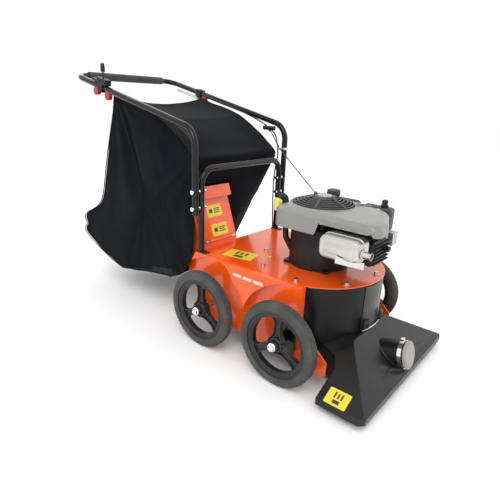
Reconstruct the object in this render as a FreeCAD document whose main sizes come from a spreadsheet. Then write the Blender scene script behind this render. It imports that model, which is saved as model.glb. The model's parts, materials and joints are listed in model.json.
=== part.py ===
"""Walk-behind leaf vacuum mulcher.

Millimetres, +Z up. The suction nozzle is at the front, towards -Y, and the handle at the back. The origin is on
the ground, at the middle of the machine's length and width. "Right" is the operator's right, which is -X.
"""

import FreeCAD, Part
import Sketcher
import math
import os

from FreeCAD import Placement, Rotation, Vector

DRIVING = {
    # running gear
    "front_axle_y": -495.0,
    "wheelbase": 365.5,
    "half_track": 321.5,
    "wheel_radius": 152.0,
    "tyre_width": 42.0,
    "tyre_depth": 34.0,
    "rim_depth": 18.0,
    "rim_width": 34.0,
    "hub_radius": 22.0,
    "hub_length": 56.0,
    "axle_radius": 8.0,
    "running_gap": 0.05,
    # body
    "deck_height": 346.0,
    "deck_half_width": 256.0,
    "shoulder_half_width": 290.0,
    "skin": 3.0,
    "well_radius": 192.0,
    "well_wall": 252.0,
    "rear_wall_setback": 467.0,
    "rim_disc_radius": 248.5,
    # impeller housing, centred on the crankshaft
    "crank_setback": 60.0,
    "housing_radius": 240.0,
    "housing_bottom": 162.0,
    "housing_top": 318.0,
    "duct_left": -14.0,
    "inlet_radius": 95.0,
    "impeller_radius": 205.0,
    "blade_height": 108.0,
    "shaft_radius": 12.5,
    # nozzle
    "nozzle_half_width": 349.0,
    "nozzle_front_reach": 343.0,
    "nozzle_back_reach": 178.0,
    "nozzle_clearance": 25.0,
    "neck_half_width": 200.0,
    "port_radius": 47.0,
    "port_tilt": 14.0,
    # chute
    "chute_right": -226.0,
    "chute_left": -12.0,
    # handle
    "handle_setback": 450.0,
    "tube_radius": 12.5,
    "tube_wall": 2.0,
    "lower_half_width": 243.0,
    "lower_top": 670.0,
    "upper_half_width": 274.5,
    "upper_foot": 500.0,
    "upper_bend": 812.0,
    "grip_setback": 1236.0,
    "grip_height": 995.0,
    "foam_radius": 18.0,
    # engine, heights from the deck
    "block_radius": 112.0,
    "block_height": 150.0,
    "shroud_bottom": 154.0,
    "shroud_top": 230.0,
    "shroud_right": -160.0,
    "shroud_left": 125.0,
    "grille_radius": 111.0,
}


class Size:
    """A length together with its spreadsheet expression, so that one sum in this file gives both."""

    def __init__(self, value, text):
        self.value, self.text = float(value), text

    def _join(self, other, sign, swap=False):
        if not isinstance(other, Size):
            other = Size(other, f"({float(other):g})")
        a, b = (other, self) if swap else (self, other)
        value = {"+": a.value + b.value, "-": a.value - b.value, "*": a.value * b.value}[sign]
        return Size(value, f"({a.text} {sign} {b.text})")

    def __add__(self, other):
        return self._join(other, "+")

    def __radd__(self, other):
        return self._join(other, "+", True)

    def __sub__(self, other):
        return self._join(other, "-")

    def __rsub__(self, other):
        return self._join(other, "-", True)

    def __mul__(self, other):
        return self._join(other, "*")

    __rmul__ = __mul__

    def __truediv__(self, number):
        return Size(self.value / number, f"({self.text} / {float(number):g})")

    def __neg__(self):
        return Size(-self.value, f"(-{self.text})")

    def __float__(self):
        return self.value


class Sheet:
    """The driving dimensions by name, as Sizes."""

    def __getattr__(self, name):
        return Size(DRIVING[name], f"Sizes.{name}")


doc = FreeCAD.newDocument("leaf_vacuum")
table = doc.addObject("Spreadsheet::Sheet", "Sizes")
for row, (alias, number) in enumerate(DRIVING.items(), start=1):
    table.set(f"A{row}", alias)
    table.set(f"B{row}", str(number))
    table.setAlias(f"B{row}", alias)
doc.recompute()

P = Sheet()
FRONT = P.front_axle_y
REAR = FRONT + P.wheelbase
CRANK = FRONT + P.crank_setback
HANDLE = FRONT + P.handle_setback
BACK = FRONT + P.rear_wall_setback
DECK = P.deck_height
SIDES = (("right", -1), ("left", 1))
ALONG = {
    "x": Rotation(Vector(0, 1, 0), 90),
    "y": Rotation(Vector(1, 0, 0), -90),
    "z": Rotation(),
}
FAR = 1000.0  # longer than any cut has to reach
parts = []


# ---- helpers: primitives, booleans, sketches and bent tubes ------------------------------------------------------


def bind(obj, prop, size):
    """Sets a property, and ties it to the sheet when the value comes from there."""
    if isinstance(size, Size):
        obj.setExpression(prop, size.text)
    setattr(obj, prop, float(size))


def place(obj, x, y, z, turn=None):
    obj.Placement = Placement(Vector(float(x), float(y), float(z)), turn or Rotation())
    for axis, size in zip("xyz", (x, y, z)):
        if isinstance(size, Size):
            obj.setExpression(f"Placement.Base.{axis}", size.text)
    return obj


def box(x0, x1, y0, y1, z0, z1):
    obj = doc.addObject("Part::Box", "Box")
    for prop, size in (("Length", x1 - x0), ("Width", y1 - y0), ("Height", z1 - z0)):
        bind(obj, prop, size)
    return place(obj, x0, y0, z0)


def cylinder(radius, length, x, y, z, along="z", angle=360.0, turn=None):
    obj = doc.addObject("Part::Cylinder", "Cylinder")
    bind(obj, "Radius", radius)
    bind(obj, "Height", length)
    obj.Angle = angle
    return place(obj, x, y, z, turn or ALONG[along])


def cone(radius0, radius1, length, x, y, z, turn=None):
    obj = doc.addObject("Part::Cone", "Cone")
    for prop, size in (("Radius1", radius0), ("Radius2", radius1), ("Height", length)):
        bind(obj, prop, size)
    return place(obj, x, y, z, turn)


def hexagon(flat, length, x, y, z, along="z"):
    obj = doc.addObject("Part::Prism", "Prism")
    obj.Polygon = 6
    obj.Circumradius = flat / math.sqrt(3)
    obj.Height = length
    return place(obj, x, y, z, ALONG[along])


def fuse(*shapes):
    obj = doc.addObject("Part::MultiFuse", "Fuse")
    obj.Shapes = list(shapes)
    obj.Refine = True
    return obj


def cut(base, *tools):
    obj = doc.addObject("Part::Cut", "Cut")
    obj.Base = base
    obj.Tool = tools[0] if len(tools) == 1 else fuse(*tools)
    return obj


def common(first, second):
    obj = doc.addObject("Part::Common", "Common")
    obj.Base, obj.Tool = first, second
    return obj


def rounded(base, radius, test):
    """Part::Fillet on the edges of base for which test(edge) holds."""
    doc.recompute()
    obj = doc.addObject("Part::Fillet", "Fillet")
    obj.Base = base
    obj.Edges = [(i, radius, radius) for i, edge in enumerate(base.Shape.Edges, 1) if test(edge)]
    return obj


def upright(edge):
    """True for a straight edge along Z."""
    return abs(edge.BoundBox.ZLength - edge.Length) < 1e-3


def level_at(height):
    """A test for edges that lie at one height."""
    return lambda edge: edge.BoundBox.ZLength < 1e-3 and abs(edge.BoundBox.ZMin - float(height)) < 1e-3


def sketch(body, plane, points, offset=0.0):
    """A closed outline on one of the body's origin planes, each corner held by two sizes."""
    drawn = body.newObject("Sketcher::SketchObject", "Sketch")
    support = next(f for f in body.Origin.OriginFeatures if f.Role == plane)
    drawn.AttachmentSupport = [(support, "")]
    drawn.MapMode = "FlatFace"
    drawn.AttachmentOffset = Placement(Vector(0, 0, float(offset)), Rotation())
    if isinstance(offset, Size):
        drawn.setExpression("AttachmentOffset.Base.z", offset.text)
    flat = [Vector(float(u), float(v), 0) for u, v in points]
    count = len(flat)
    for i in range(count):
        drawn.addGeometry(Part.LineSegment(flat[i], flat[(i + 1) % count]), False)
    held = []
    for i, (u, v) in enumerate(points):
        drawn.addConstraint(Sketcher.Constraint("Coincident", (i - 1) % count, 2, i, 1))
        for kind, size in (("DistanceX", u), ("DistanceY", v)):
            index = drawn.addConstraint(Sketcher.Constraint(kind, -1, 1, i, 1, float(size)))
            held.append((index, size))
    for index, size in held:
        if isinstance(size, Size):
            drawn.setExpression(f"Constraints[{index}]", size.text)
    return drawn


def padded(plane, points, length, offset=0.0):
    """A PartDesign body: the outline padded along the plane's normal, from offset on."""
    body = doc.addObject("PartDesign::Body", "Body")
    drawn = sketch(body, plane, points, offset)
    pad = body.newObject("PartDesign::Pad", "Pad")
    pad.Profile = drawn
    bind(pad, "Length", length)
    drawn.Visibility = False
    return body


def revolved(points, axis="Z", angle=360.0):
    """A PartDesign body: the outline, as (x, z) pairs, turned about the body's own X or Z axis."""
    body = doc.addObject("PartDesign::Body", "Body")
    drawn = sketch(body, "XZ_Plane", points)
    turned = body.newObject("PartDesign::Revolution", "Revolution")
    turned.Profile = drawn
    turned.ReferenceAxis = (drawn, ["H_Axis" if axis == "X" else "V_Axis"])
    turned.Angle = angle
    return body


def rectangle(u0, u1, v0, v1):
    return [(u0, v0), (u1, v0), (u1, v1), (u0, v1)]


def group(objects):
    """Identical pieces of one node, kept as separate solids."""
    obj = doc.addObject("Part::Compound", "Group")
    obj.Links = list(objects)
    return obj


def subpart(label, obj):
    obj.Label = label
    parts.append(obj)
    return obj


def shaped(label, shape, placement=None):
    """A sub-part whose shape is made here with Part's own functions."""
    obj = doc.addObject("Part::Feature", label)
    obj.Shape = shape
    obj.Placement = placement or Placement()
    return subpart(label, obj)


def bent_path(points, radii):
    """Straight runs joined by tangent arcs. Each inner point has its radius, or as much of it as its runs allow."""
    points = [Vector(*[float(c) for c in p]) for p in points]
    if not isinstance(radii, list):
        radii = [radii] * (len(points) - 2)
    edges, start = [], points[0]
    for corner, before, after, wanted in zip(points[1:-1], points, points[2:], radii):
        into, out = corner - before, after - corner
        shorter = min(into.Length, out.Length)
        into.normalize()
        out.normalize()
        slope = math.tan(into.getAngle(out) / 2)
        radius = min(wanted, 0.45 * shorter / slope)
        begin, end = corner - into * radius * slope, corner + out * radius * slope
        inward = (out - into).normalize()
        middle = corner + inward * radius * (math.sqrt(1 + slope * slope) - 1)
        edges += [Part.LineSegment(start, begin).toShape(), Part.Arc(begin, middle, end).toShape()]
        start = end
    edges.append(Part.LineSegment(start, points[-1]).toShape())
    return Part.Wire(edges)


def swept(path, radius):
    first = path.OrderedEdges[0]
    at, along = first.valueAt(first.FirstParameter), first.tangentAt(first.FirstParameter)
    ring = Part.Wire([Part.makeCircle(float(radius), at, along)])
    return path.makePipeShell([ring], True, False)


def tube(path, radius, wall):
    return swept(path, radius).cut(swept(path, float(radius) - float(wall)))


def cord(label, points, bend, radius):
    """A cord along its route. It prints the bends, and holds the tube's volume against section times length."""
    path = bent_path(points, bend)
    bends = [round(edge.Curve.Radius, 1) for edge in path.OrderedEdges if isinstance(edge.Curve, Part.Circle)]
    shape = swept(path, radius)
    expected = math.pi * radius**2 * path.Length
    share = shape.Volume / expected
    print(f"{label}: {path.Length:.0f} mm long, bend radii {bends}, volume {share:.4f} of section x length")
    if abs(share - 1) > 0.01:
        raise RuntimeError(f"{label}: the tube's volume is wrong")
    shaped(label, shape)


# ---- running gear ----------------------------------------------------------------------------------------------


def wheel(name, side, y):
    """A solid tyre on a three-spoke moulded rim."""
    seat = P.wheel_radius - P.tyre_depth
    half = P.tyre_width / 2
    shoulder = 12.0
    tyre = revolved(
        [
            (-half, seat),
            (half, seat),
            (half, P.wheel_radius - shoulder),
            (half - shoulder / 2, P.wheel_radius - shoulder / 4),
            (half - shoulder, P.wheel_radius),
            (shoulder - half, P.wheel_radius),
            (shoulder / 2 - half, P.wheel_radius - shoulder / 4),
            (-half, P.wheel_radius - shoulder),
        ],
        "X",
    )
    place(tyre, side * P.half_track, y, P.wheel_radius)
    subpart(f"tyre_{name}", tyre)

    inner = seat - P.rim_depth
    flange = P.rim_width / 2
    band = revolved(
        [(-flange, inner + 5), (-7.0, inner), (7.0, inner), (flange, inner + 5), (flange, seat), (-flange, seat)], "X"
    )
    hub = cylinder(P.hub_radius, P.hub_length, -P.hub_length / 2, 0, 0, "x")
    pieces = [place(band, 0, 0, 0), hub]
    for spoke in range(3):
        turn = Rotation(Vector(1, 0, 0), 120 * spoke)
        web = padded(
            "YZ_Plane",
            [(-21.0, P.hub_radius - 8), (21.0, P.hub_radius - 8), (13.0, inner + 6), (-13.0, inner + 6)],
            10.0,
            -5.0,
        )
        rib = box(-13.0, 13.0, -3.0, 3.0, P.hub_radius - 8, inner + 4)
        pieces.append(place(fuse(web, rib), 0, 0, 0, turn))
    bore = cylinder(P.axle_radius + P.running_gap, P.hub_length + 20, -P.hub_length / 2 - 10, 0, 0, "x")
    rim = place(cut(fuse(*pieces), bore), side * P.half_track, y, P.wheel_radius)
    subpart(f"rim_{name}", rim)


def axle_end(side, x, y, z):
    """The nut and washer on an axle's outer end, with a domed cap."""
    washer = cylinder(15.0, 2.0, 0, 0, 0)
    body = hexagon(22.0, 8.0, 0, 0, 2.0)
    dome = cone(9.5, 5.0, 6.0, 0, 0, 10.0)
    turn = Rotation(Vector(0, 1, 0), 90 * side)
    solid = cut(fuse(washer, body, dome), cylinder(P.axle_radius, 9.0, 0, 0, -1.0))
    return place(solid, x, y, z, turn)


def running_gear():
    outer = P.half_track + P.hub_length / 2
    for name, side in SIDES:
        wheel(f"front_{name}", side, FRONT)
        wheel(f"rear_{name}", side, REAR)
    rear_axle = cylinder(P.axle_radius, 2 * outer + 16, -outer - 8, REAR, P.wheel_radius, "x")
    subpart("rear_axle", rear_axle)
    nuts = [axle_end(side, side * (outer + 0.5), REAR, P.wheel_radius) for _, side in SIDES]
    subpart("rear_axle_nuts", group(nuts))

    # Each front wheel sits on a plate that slides up and down on the body's side to set the nozzle's height.
    plate_inner, plate_outer = P.well_wall + 14, P.well_wall + 20
    bolts = []
    for name, side in SIDES:
        low, high = (plate_inner, plate_outer) if side > 0 else (-plate_outer, -plate_inner)
        plate = box(low, high, FRONT - 34, FRONT + 44, P.wheel_radius - 52, P.wheel_radius + 92)
        slots = []
        for shift in (-18.0, 28.0):
            middle = P.wheel_radius + 48
            slot = box(low - 5, high + 5, FRONT + shift - 5, FRONT + shift + 5, middle - 19.5, middle + 29.5)
            slots.append(slot)
            neck_x = P.well_wall if side > 0 else -P.well_wall - 26
            neck = cylinder(4.0, 26.0, neck_x, FRONT + shift, middle, "x")
            head_x = side * (P.well_wall + 20.5)
            turn = Rotation(Vector(0, 1, 0), 90 * side)
            head = place(hexagon(15.0, 6.0, 0, 0, 0), head_x, FRONT + shift, middle, turn)
            bolts.append(fuse(neck, head))
        start = plate_outer - 1 if side > 0 else -outer - 8
        length = outer + 9 - plate_outer
        stub = cylinder(P.axle_radius, length, start, FRONT, P.wheel_radius, "x")
        subpart(f"front_bracket_{name}", cut(fuse(plate, stub), *slots))
        nut = axle_end(side, side * (outer + 0.5), FRONT, P.wheel_radius)
        subpart(f"front_axle_nut_{name}", nut)
    return bolts


# ---- body, impeller housing and nozzle ---------------------------------------------------------------------------


def body_hull(inset):
    """The body's outside, or with an inset its inside: the shoulders narrow to the deck and to the skirt."""
    top = DECK - inset
    low = -20.0 if inset else 45.0
    wide, deck = P.shoulder_half_width - inset, P.deck_half_width - inset
    section = [(-deck, top), (-wide, top - 48), (-wide, 110.0), (-wide + 18, low), (wide - 18, low), (wide, 110.0)]
    section += [(wide, top - 48), (deck, top)]
    length = P.rear_wall_setback + 175
    across = padded("XZ_Plane", section, length, -(BACK - inset))
    across = rounded(across, 26.0 - inset, lambda edge: edge.BoundBox.YLength > 100 and edge.BoundBox.ZMin > 90)
    rear = BACK - inset
    side = [
        (rear, top + 5),
        (rear, 165.0 if not inset else low - 5),
        (REAR + 40, 84.0 if not inset else low - 5),
        (FRONT + 210, 80.0 if not inset else low - 5),
        (FRONT - 132, 46.0 if not inset else low - 5),
        (FRONT - 154, 62.0 if not inset else low - 5),
        (FRONT - 154, 110.0),
        (FRONT - 98, 160.0),
        (FRONT - 34, 232.0),
        (FRONT - 34, top + 5),
    ]
    hull = common(across, padded("YZ_Plane", side, 2 * FAR, -FAR))
    wells = []
    for _, sign in SIDES:
        for y in (FRONT, REAR):
            radius = P.well_radius + inset
            start = P.well_wall - inset if sign > 0 else -FAR
            wells.append(cylinder(radius, FAR - P.well_wall + inset, start, y, P.wheel_radius, "x"))
    return cut(hull, *wells)


def deck_body(bracket_bolts):
    shell = cut(body_hull(0.0), body_hull(P.skin))
    disc = cylinder(P.rim_disc_radius, P.skin, 0, CRANK, DECK - P.skin)
    floor_cut = box(-FAR / 4, FAR / 4, FRONT - 400, FRONT - 34, 232.0, DECK - P.skin)
    shaft_hole = cylinder(20.0, 40.0, 0, CRANK, DECK - 20)
    duct_hole = box(
        P.chute_right + P.skin,
        P.duct_left - P.skin,
        BACK - 10,
        BACK + 10,
        P.housing_bottom + 1 + P.skin,
        P.housing_top - P.skin,
    )
    screen = common(body_hull(0.0), box(-FAR, FAR, FRONT - 34, FRONT - 34 + P.skin, 150.0, DECK - P.skin))
    screen = cut(screen, cylinder(P.housing_radius + 4.5, 300.0, 0, CRANK, 100.0))
    bearings = [cylinder(22.0, 8.0, x, REAR, P.wheel_radius, "x") for x in (-P.well_wall - 7, P.well_wall - 1)]
    reach = P.well_wall + 20
    axle_bore = cylinder(P.axle_radius + P.running_gap, 2 * reach, -reach, REAR, P.wheel_radius, "x")
    body = cut(fuse(shell, disc, screen, *bearings), shaft_hole, duct_hole, floor_cut, axle_bore)
    subpart("deck_body", body)

    nuts = []
    for step in range(8):
        angle = math.radians(12 + 45 * step)
        x, y = 222 * math.cos(angle), 222 * math.sin(angle)
        washer = cylinder(11.0, 1.6, x, CRANK + y, DECK)
        nut = hexagon(15.0, 8.0, x, CRANK + y, DECK + 1.6)
        nuts.append(fuse(washer, nut))
    subpart("body_fasteners", group(nuts + bracket_bolts))


def volute(inset, height_from, height_to, reach):
    """The impeller chamber with its straight tangential outlet towards the back."""
    height = height_to - height_from
    chamber = cylinder(P.housing_radius - inset, height, 0, CRANK, height_from)
    outlet = box(inset - P.housing_radius, P.duct_left - inset, CRANK, reach, height_from, height_to)
    return fuse(chamber, outlet)


def impeller_housing():
    outside = volute(0.0, P.housing_bottom, P.housing_top, BACK - P.skin - 0.2)
    inside = volute(P.skin, P.housing_bottom + P.skin, P.housing_top - P.skin, BACK + 20)
    inlet = cylinder(P.inlet_radius, 20.0, 0, CRANK, P.housing_bottom - 10)
    eye = cylinder(P.shaft_radius + 6, 20.0, 0, CRANK, P.housing_top - 10)
    subpart("impeller_housing", cut(outside, inside, inlet, eye))

    # the cover's lower edge follows the nozzle's top
    turn = Rotation(Vector(0, 0, 1), 201.5)
    low = 112.0
    height = DECK - P.skin - 1 - low
    skin = cylinder(P.housing_radius + 3.5, height, 0, CRANK, low, angle=137.0, turn=turn)
    core = cylinder(P.housing_radius + 0.5, height + 20, 0, CRANK, low - 10)
    subpart("housing_cover", cut(skin, core, nozzle_hull(-1.0)))

    turn = Rotation(Vector(0, 0, 1), 254.0)
    plate = cylinder(P.housing_radius + 6, 160.0, 0, CRANK, 176.0, angle=34.0, turn=turn)
    core = cylinder(P.housing_radius + 3.6, 180.0, 0, CRANK, 166.0)
    subpart("access_plate", cut(plate, core))


def rotor():
    """Everything on the crankshaft: impeller, drive pulley and flywheel."""
    top, bottom = P.housing_top - 18, P.housing_top - 18 - P.blade_height
    disc = cylinder(P.impeller_radius, 4.0, 0, 0, top)
    hub = cylinder(28.0, 60.0, 0, 0, top - 50)
    blades = []
    for step in range(6):
        blade = padded("XY_Plane", rectangle(24.0, P.impeller_radius - 1, -2.5, 2.5), P.blade_height + 1, bottom)
        blades.append(place(blade, 0, 0, 0, Rotation(Vector(0, 0, 1), 60 * step)))
    bore = cylinder(P.shaft_radius, 200.0, 0, 0, top - 100)
    impeller = cut(fuse(disc, hub, *blades), bore)
    subpart("impeller", place(impeller, 0, CRANK, 0))

    shaft = fuse(
        cylinder(P.shaft_radius, DECK + 208 - (top - 50), 0, CRANK, top - 50),
        cylinder(P.shaft_radius + 15, 24.0, 0, CRANK, DECK + 62),
        cylinder(22.0, 6.0, 0, CRANK, top - 56),
        hexagon(19.0, 8.0, 0, CRANK, top - 64),
    )
    subpart("crankshaft", shaft)

    subpart("drive_pulley", place(pulley(35.0, P.shaft_radius, 20.0), 0, CRANK, P.housing_top + 3))

    vanes = []
    for step in range(12):
        vane = padded("XY_Plane", rectangle(45.0, 88.0, -2.0, 2.0), 16.0, 12.0)
        vanes.append(place(vane, 0, 0, 0, Rotation(Vector(0, 0, 1), 30 * step)))
    wheel_disc = fuse(cylinder(90.0, 14.0, 0, 0, 0), cylinder(30.0, 26.0, 0, 0, 0), *vanes)
    flywheel = cut(wheel_disc, cylinder(P.shaft_radius, 60.0, 0, 0, -10))
    subpart("flywheel", place(flywheel, 0, CRANK, DECK + 176))


def pulley(radius, bore, height):
    """A V-belt pulley about its own Z axis, standing on z = 0."""
    groove = 9.0
    return revolved(
        [
            (bore, 0.0),
            (radius, 0.0),
            (radius, 3.0),
            (radius - groove, height / 2 - 2),
            (radius - groove, height / 2 + 2),
            (radius, height - 3),
            (radius, height),
            (bore, height),
        ]
    )


def drive():
    """The rear-wheel drive: a belt from the crankshaft to a gearbox on the rear axle."""
    shaft_x, shaft_y = 100.0, REAR + 20
    case = box(shaft_x - 45, shaft_x + 45, REAR - 55, REAR + 55, 105.0, 200.0)
    case = rounded(case, 14.0, lambda edge: True)
    axle_bore = cylinder(P.axle_radius + P.running_gap, 200.0, 0.0, REAR, P.wheel_radius, "x")
    input_bore = cylinder(8.0 + P.running_gap, 60.0, shaft_x, shaft_y, 180.0)
    subpart("gearbox", cut(case, axle_bore, input_bore))

    driven = fuse(pulley(45.0, 6.0, 20.0), cylinder(8.0, P.housing_top + 21 - 186, 0, 0, 186 - P.housing_top - 3))
    subpart("gearbox_pulley", place(driven, shaft_x, shaft_y, P.housing_top + 3))

    start, end = Vector(0, float(CRANK), 0), Vector(shaft_x, float(shaft_y), 0)
    inner, outer = belt_loop(start, 26.6, end, 36.6), belt_loop(start, 33.0, end, 43.0)
    ring = Part.Face([outer, inner])
    ring.validate()
    belt = ring.extrude(Vector(0, 0, 3.6))
    groove = float(P.housing_top) + 3 + 8.2
    shaped("drive_belt", belt, Placement(Vector(0, 0, groove), Rotation()))


def belt_loop(first, first_radius, second, second_radius):
    """The outline of a belt round two pulleys: two arcs and the two lines that touch both circles."""
    along = second - first
    distance = along.Length
    heading = math.atan2(along.y, along.x)
    spread = math.acos((first_radius - second_radius) / distance)

    def on(centre, radius, angle):
        return centre + Vector(math.cos(angle), math.sin(angle), 0) * radius

    up, down = heading + spread, heading - spread
    a, b = on(first, first_radius, up), on(second, second_radius, up)
    c, d = on(second, second_radius, down), on(first, first_radius, down)
    return Part.Wire(
        [
            Part.LineSegment(a, b).toShape(),
            Part.Arc(b, on(second, second_radius, heading), c).toShape(),
            Part.LineSegment(c, d).toShape(),
            Part.Arc(d, on(first, first_radius, heading + math.pi), a).toShape(),
        ]
    )


def nozzle_hull(inset):
    """The nozzle's outside or inside: a wide flat hood whose neck runs back under the impeller housing."""
    front, back = FRONT - P.nozzle_front_reach + inset, FRONT - P.nozzle_back_reach - inset
    wide, neck = P.nozzle_half_width - inset, P.neck_half_width - inset
    tail = CRANK + P.inlet_radius + 20 - inset
    top = P.housing_bottom - 1 - inset
    low = P.nozzle_clearance if not inset else P.nozzle_clearance - 30
    plan = [
        (-wide + 14, front),
        (wide - 14, front),
        (wide, front + 14),
        (wide, back),
        (neck + 40, back),
        (neck, back + 26),
        (115.0 - inset, tail),
        (inset - 115.0, tail),
        (-neck, back + 26),
        (-neck - 40, back),
        (-wide, back),
        (-wide, front + 14),
    ]
    side = [
        (front, low),
        (tail, low),
        (tail, top),
        (FRONT - 184, top),
        (FRONT - 200, top - 14),
        (front + 12, 58.0 - inset),
        (front, 46.0 - inset),
    ]
    shoulder, ridge = 47.0 - inset, P.inlet_radius + 32
    right_half = [(-ridge, top + 1), (-wide, shoulder), (-wide, low - 5)]
    across = right_half + [(wide, low - 5), (wide, shoulder), (ridge, top + 1)]
    hood = common(padded("XY_Plane", plan, 400.0, -50.0), padded("YZ_Plane", side, 2 * FAR, -FAR))
    return common(hood, padded("XZ_Plane", across, 2 * FAR, -FAR))


PORT_HEIGHT = 107.0


def nozzle():
    tilt = float(P.port_tilt)
    aim = Rotation(Vector(1, 0, 0), 90 - tilt)  # the port looks forwards and a little up
    mouth = (0.0, FRONT - 329, PORT_HEIGHT)
    back = aim.multVec(Vector(0, 0, -120))
    start = (back.x, FRONT - 329 + back.y, PORT_HEIGHT + back.z)
    pipe = cylinder(P.port_radius, 120.0, *start, turn=aim)
    pipe_bore = cylinder(P.port_radius - P.skin, 140.0, *start, turn=aim)
    above = cut(pipe, nozzle_hull(P.skin))
    inlet = cylinder(P.inlet_radius, 30.0, 0, CRANK, P.housing_bottom - 15)
    hood = cut(nozzle_hull(0.0), nozzle_hull(P.skin))
    subpart("nozzle", cut(fuse(hood, above), inlet, pipe_bore))

    band = fuse(
        cylinder(P.port_radius + 3, 14.0, 0, 0, 0),
        box(-8.0, 8.0, P.port_radius, P.port_radius + 12, 2.0, 12.0),
    )
    band = cut(band, cylinder(P.port_radius + 0.1, 30.0, 0, 0, -5))
    drop = aim.multVec(Vector(0, 0, -19))
    band = place(band, mouth[0], mouth[1] + drop.y, mouth[2] + drop.z, aim)
    subpart("port_clamp", cut(band, nozzle_hull(-0.5)))

    lid = fuse(
        cylinder(P.port_radius + 2, 6.0, 0, 0, 0.5),
        cylinder(P.port_radius - P.skin - 0.5, 16.0, 0, 0, -14.0),
        cylinder(P.port_radius - 6, 3.0, 0, 0, 6.0),
    )
    subpart("port_cap", place(lid, *mouth, aim))


# ---- discharge chute, door and bag -------------------------------------------------------------------------------

EARS = (-80.0, 76.0)  # where the hinge pin's two ears start, from the middle of the door
CHUTE_RISE = 228.5
CHUTE_REACH = 81.7
CHUTE_LEAN = math.degrees(math.atan2(CHUTE_REACH, CHUTE_RISE))  # how far its front wall leans back from upright


def chute_outline(inset):
    """The chute seen from the side: in through the body's back wall, then up and back into the bag."""
    foot = DECK + 0.5
    return [
        (BACK + inset, 163.0 + inset),
        (BACK + inset, foot - inset),
        (BACK + CHUTE_REACH + inset * 2, foot + CHUTE_RISE + inset * 4),
        (HANDLE + 195 - inset, DECK + 156 + inset * 4),
        (HANDLE + 140 - inset, DECK - 14),
        (HANDLE + 65 - inset, 185.0 + inset),
    ]


def chute():
    width = P.chute_left - P.chute_right
    outside = padded("YZ_Plane", chute_outline(0.0), width, P.chute_right)
    inside = padded("YZ_Plane", chute_outline(P.skin), width - 2 * P.skin, P.chute_right + P.skin)
    mouth = box(
        P.chute_right + P.skin,
        P.chute_left - P.skin,
        BACK - 5,
        BACK + 10,
        P.housing_bottom + 1 + P.skin,
        P.housing_top,
    )
    lean = Rotation(Vector(1, 0, 0), -CHUTE_LEAN)
    window = box(0.0, 160.0, -12.0, 12.0, 0.0, 128.0)
    place(window, P.chute_right + 27, BACK + 14, DECK + 40, lean)
    subpart("discharge_chute", cut(outside, inside, mouth, window))

    # The door is a plate on the chute's front wall, with a channel along its top edge to lift it by.
    plate = box(-92.0, 92.0, -3.5, -1.0, 6.0, 178.0)
    lip = box(-100.0, 100.0, -32.0, -3.5, 176.0, 226.0)
    hollow = box(-102.0, 102.0, -29.5, -6.0, 170.0, 223.5)
    web = box(-92.0, 92.0, -6.0, -1.0, 172.0, 180.0)
    knuckle = cylinder(7.0, 130.0, -65.0, -8.5, 6.0, "x")
    pin_bore = cylinder(4.0 + P.running_gap, 200.0, -100.0, -8.5, 6.0, "x")
    notches = [box(x - 1.0, x + 5.0, -5.0, 0.0, 0.0, 14.5) for x in EARS]
    door = cut(fuse(plate, cut(lip, hollow), web, knuckle), pin_bore, *notches)
    hinge = (P.chute_right + 107, BACK + 4.8, DECK + 14)
    subpart("chute_door", place(door, *hinge, lean))

    rod = cylinder(4.0, 168.0, -84.0, -8.5, 6.0, "x")
    ears = [box(x, x + 4.0, -13.5, -0.2, 0.5, 12.0) for x in EARS]
    subpart("door_hinge_pin", place(fuse(rod, *ears), *hinge, lean))


def bag_section(y_top, y_low, half_width, left_low, low, high):
    """One eight-sided outline of the bag, leaning where y_low isn't y_top. left_low is the lower left corner's x."""

    def at(x, z):
        share = (high - z) / (high - low)
        return Vector(x, y_top + (y_low - y_top) * share, z)

    corner, crease = min(0.25 * (high - low), 60.0), 16.0
    return [
        at(-half_width, high - crease),
        at(-half_width + crease, high),
        at(half_width - crease, high),
        at(half_width, high - crease),
        at(left_low, low + corner),
        at(left_low - corner * 0.8, low),
        at(-half_width + corner * 0.8, low),
        at(-half_width, low + corner),
    ]


def bag_loft(inset):
    front, rear = float(HANDLE), float(FRONT)
    stations = [
        (front + 22, front + 150, 236, 100, 300, 708),
        (front + 240, front + 240, 250, 190, 172, 848),
        (rear + 850, rear + 850, 257, 254, 140, 890),
        (rear + 985, rear + 985, 257, 257, 108, 922),
        (rear + 1035, rear + 1035, 257, 257, 112, 770),
        (rear + 1095, rear + 1095, 253, 253, 128, 608),
        (rear + 1205, rear + 1205, 246, 246, 165, 400),
        (rear + 1338, rear + 1338, 226, 226, 240, 316),
    ]
    wires = []
    for i, (y_top, y_low, half, left_low, low, high) in enumerate(stations):
        shift = inset if i == 0 else -inset if i == len(stations) - 1 else 0.0
        ring = bag_section(
            y_top + shift, y_low + shift, half - inset, left_low - inset, low + inset, high - inset
        )
        wires.append(Part.makePolygon(ring + ring[:1]))
    return Part.makeLoft(wires, True, True)


def bag_cheek(inset):
    """The right side's front edge, which comes forward beside the chute and hangs lower than the rest."""
    front = [(472, 690), (469, 560), (469, 430), (474, 370), (488, 300), (526, 226)]
    outline = front + [(624, 180), (760, 158), (760, 700)]
    centre = Vector(640, 440)
    points = []
    for y, z in outline:
        inwards = (centre - Vector(y, z)).normalize() * inset * 1.3
        points.append(Vector(inset - 257.0, float(FRONT) + y + inwards.x, z + inwards.y))
    return Part.Face(Part.makePolygon(points + points[:1])).extrude(Vector(26 - 2 * inset, 0, 0))


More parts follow.
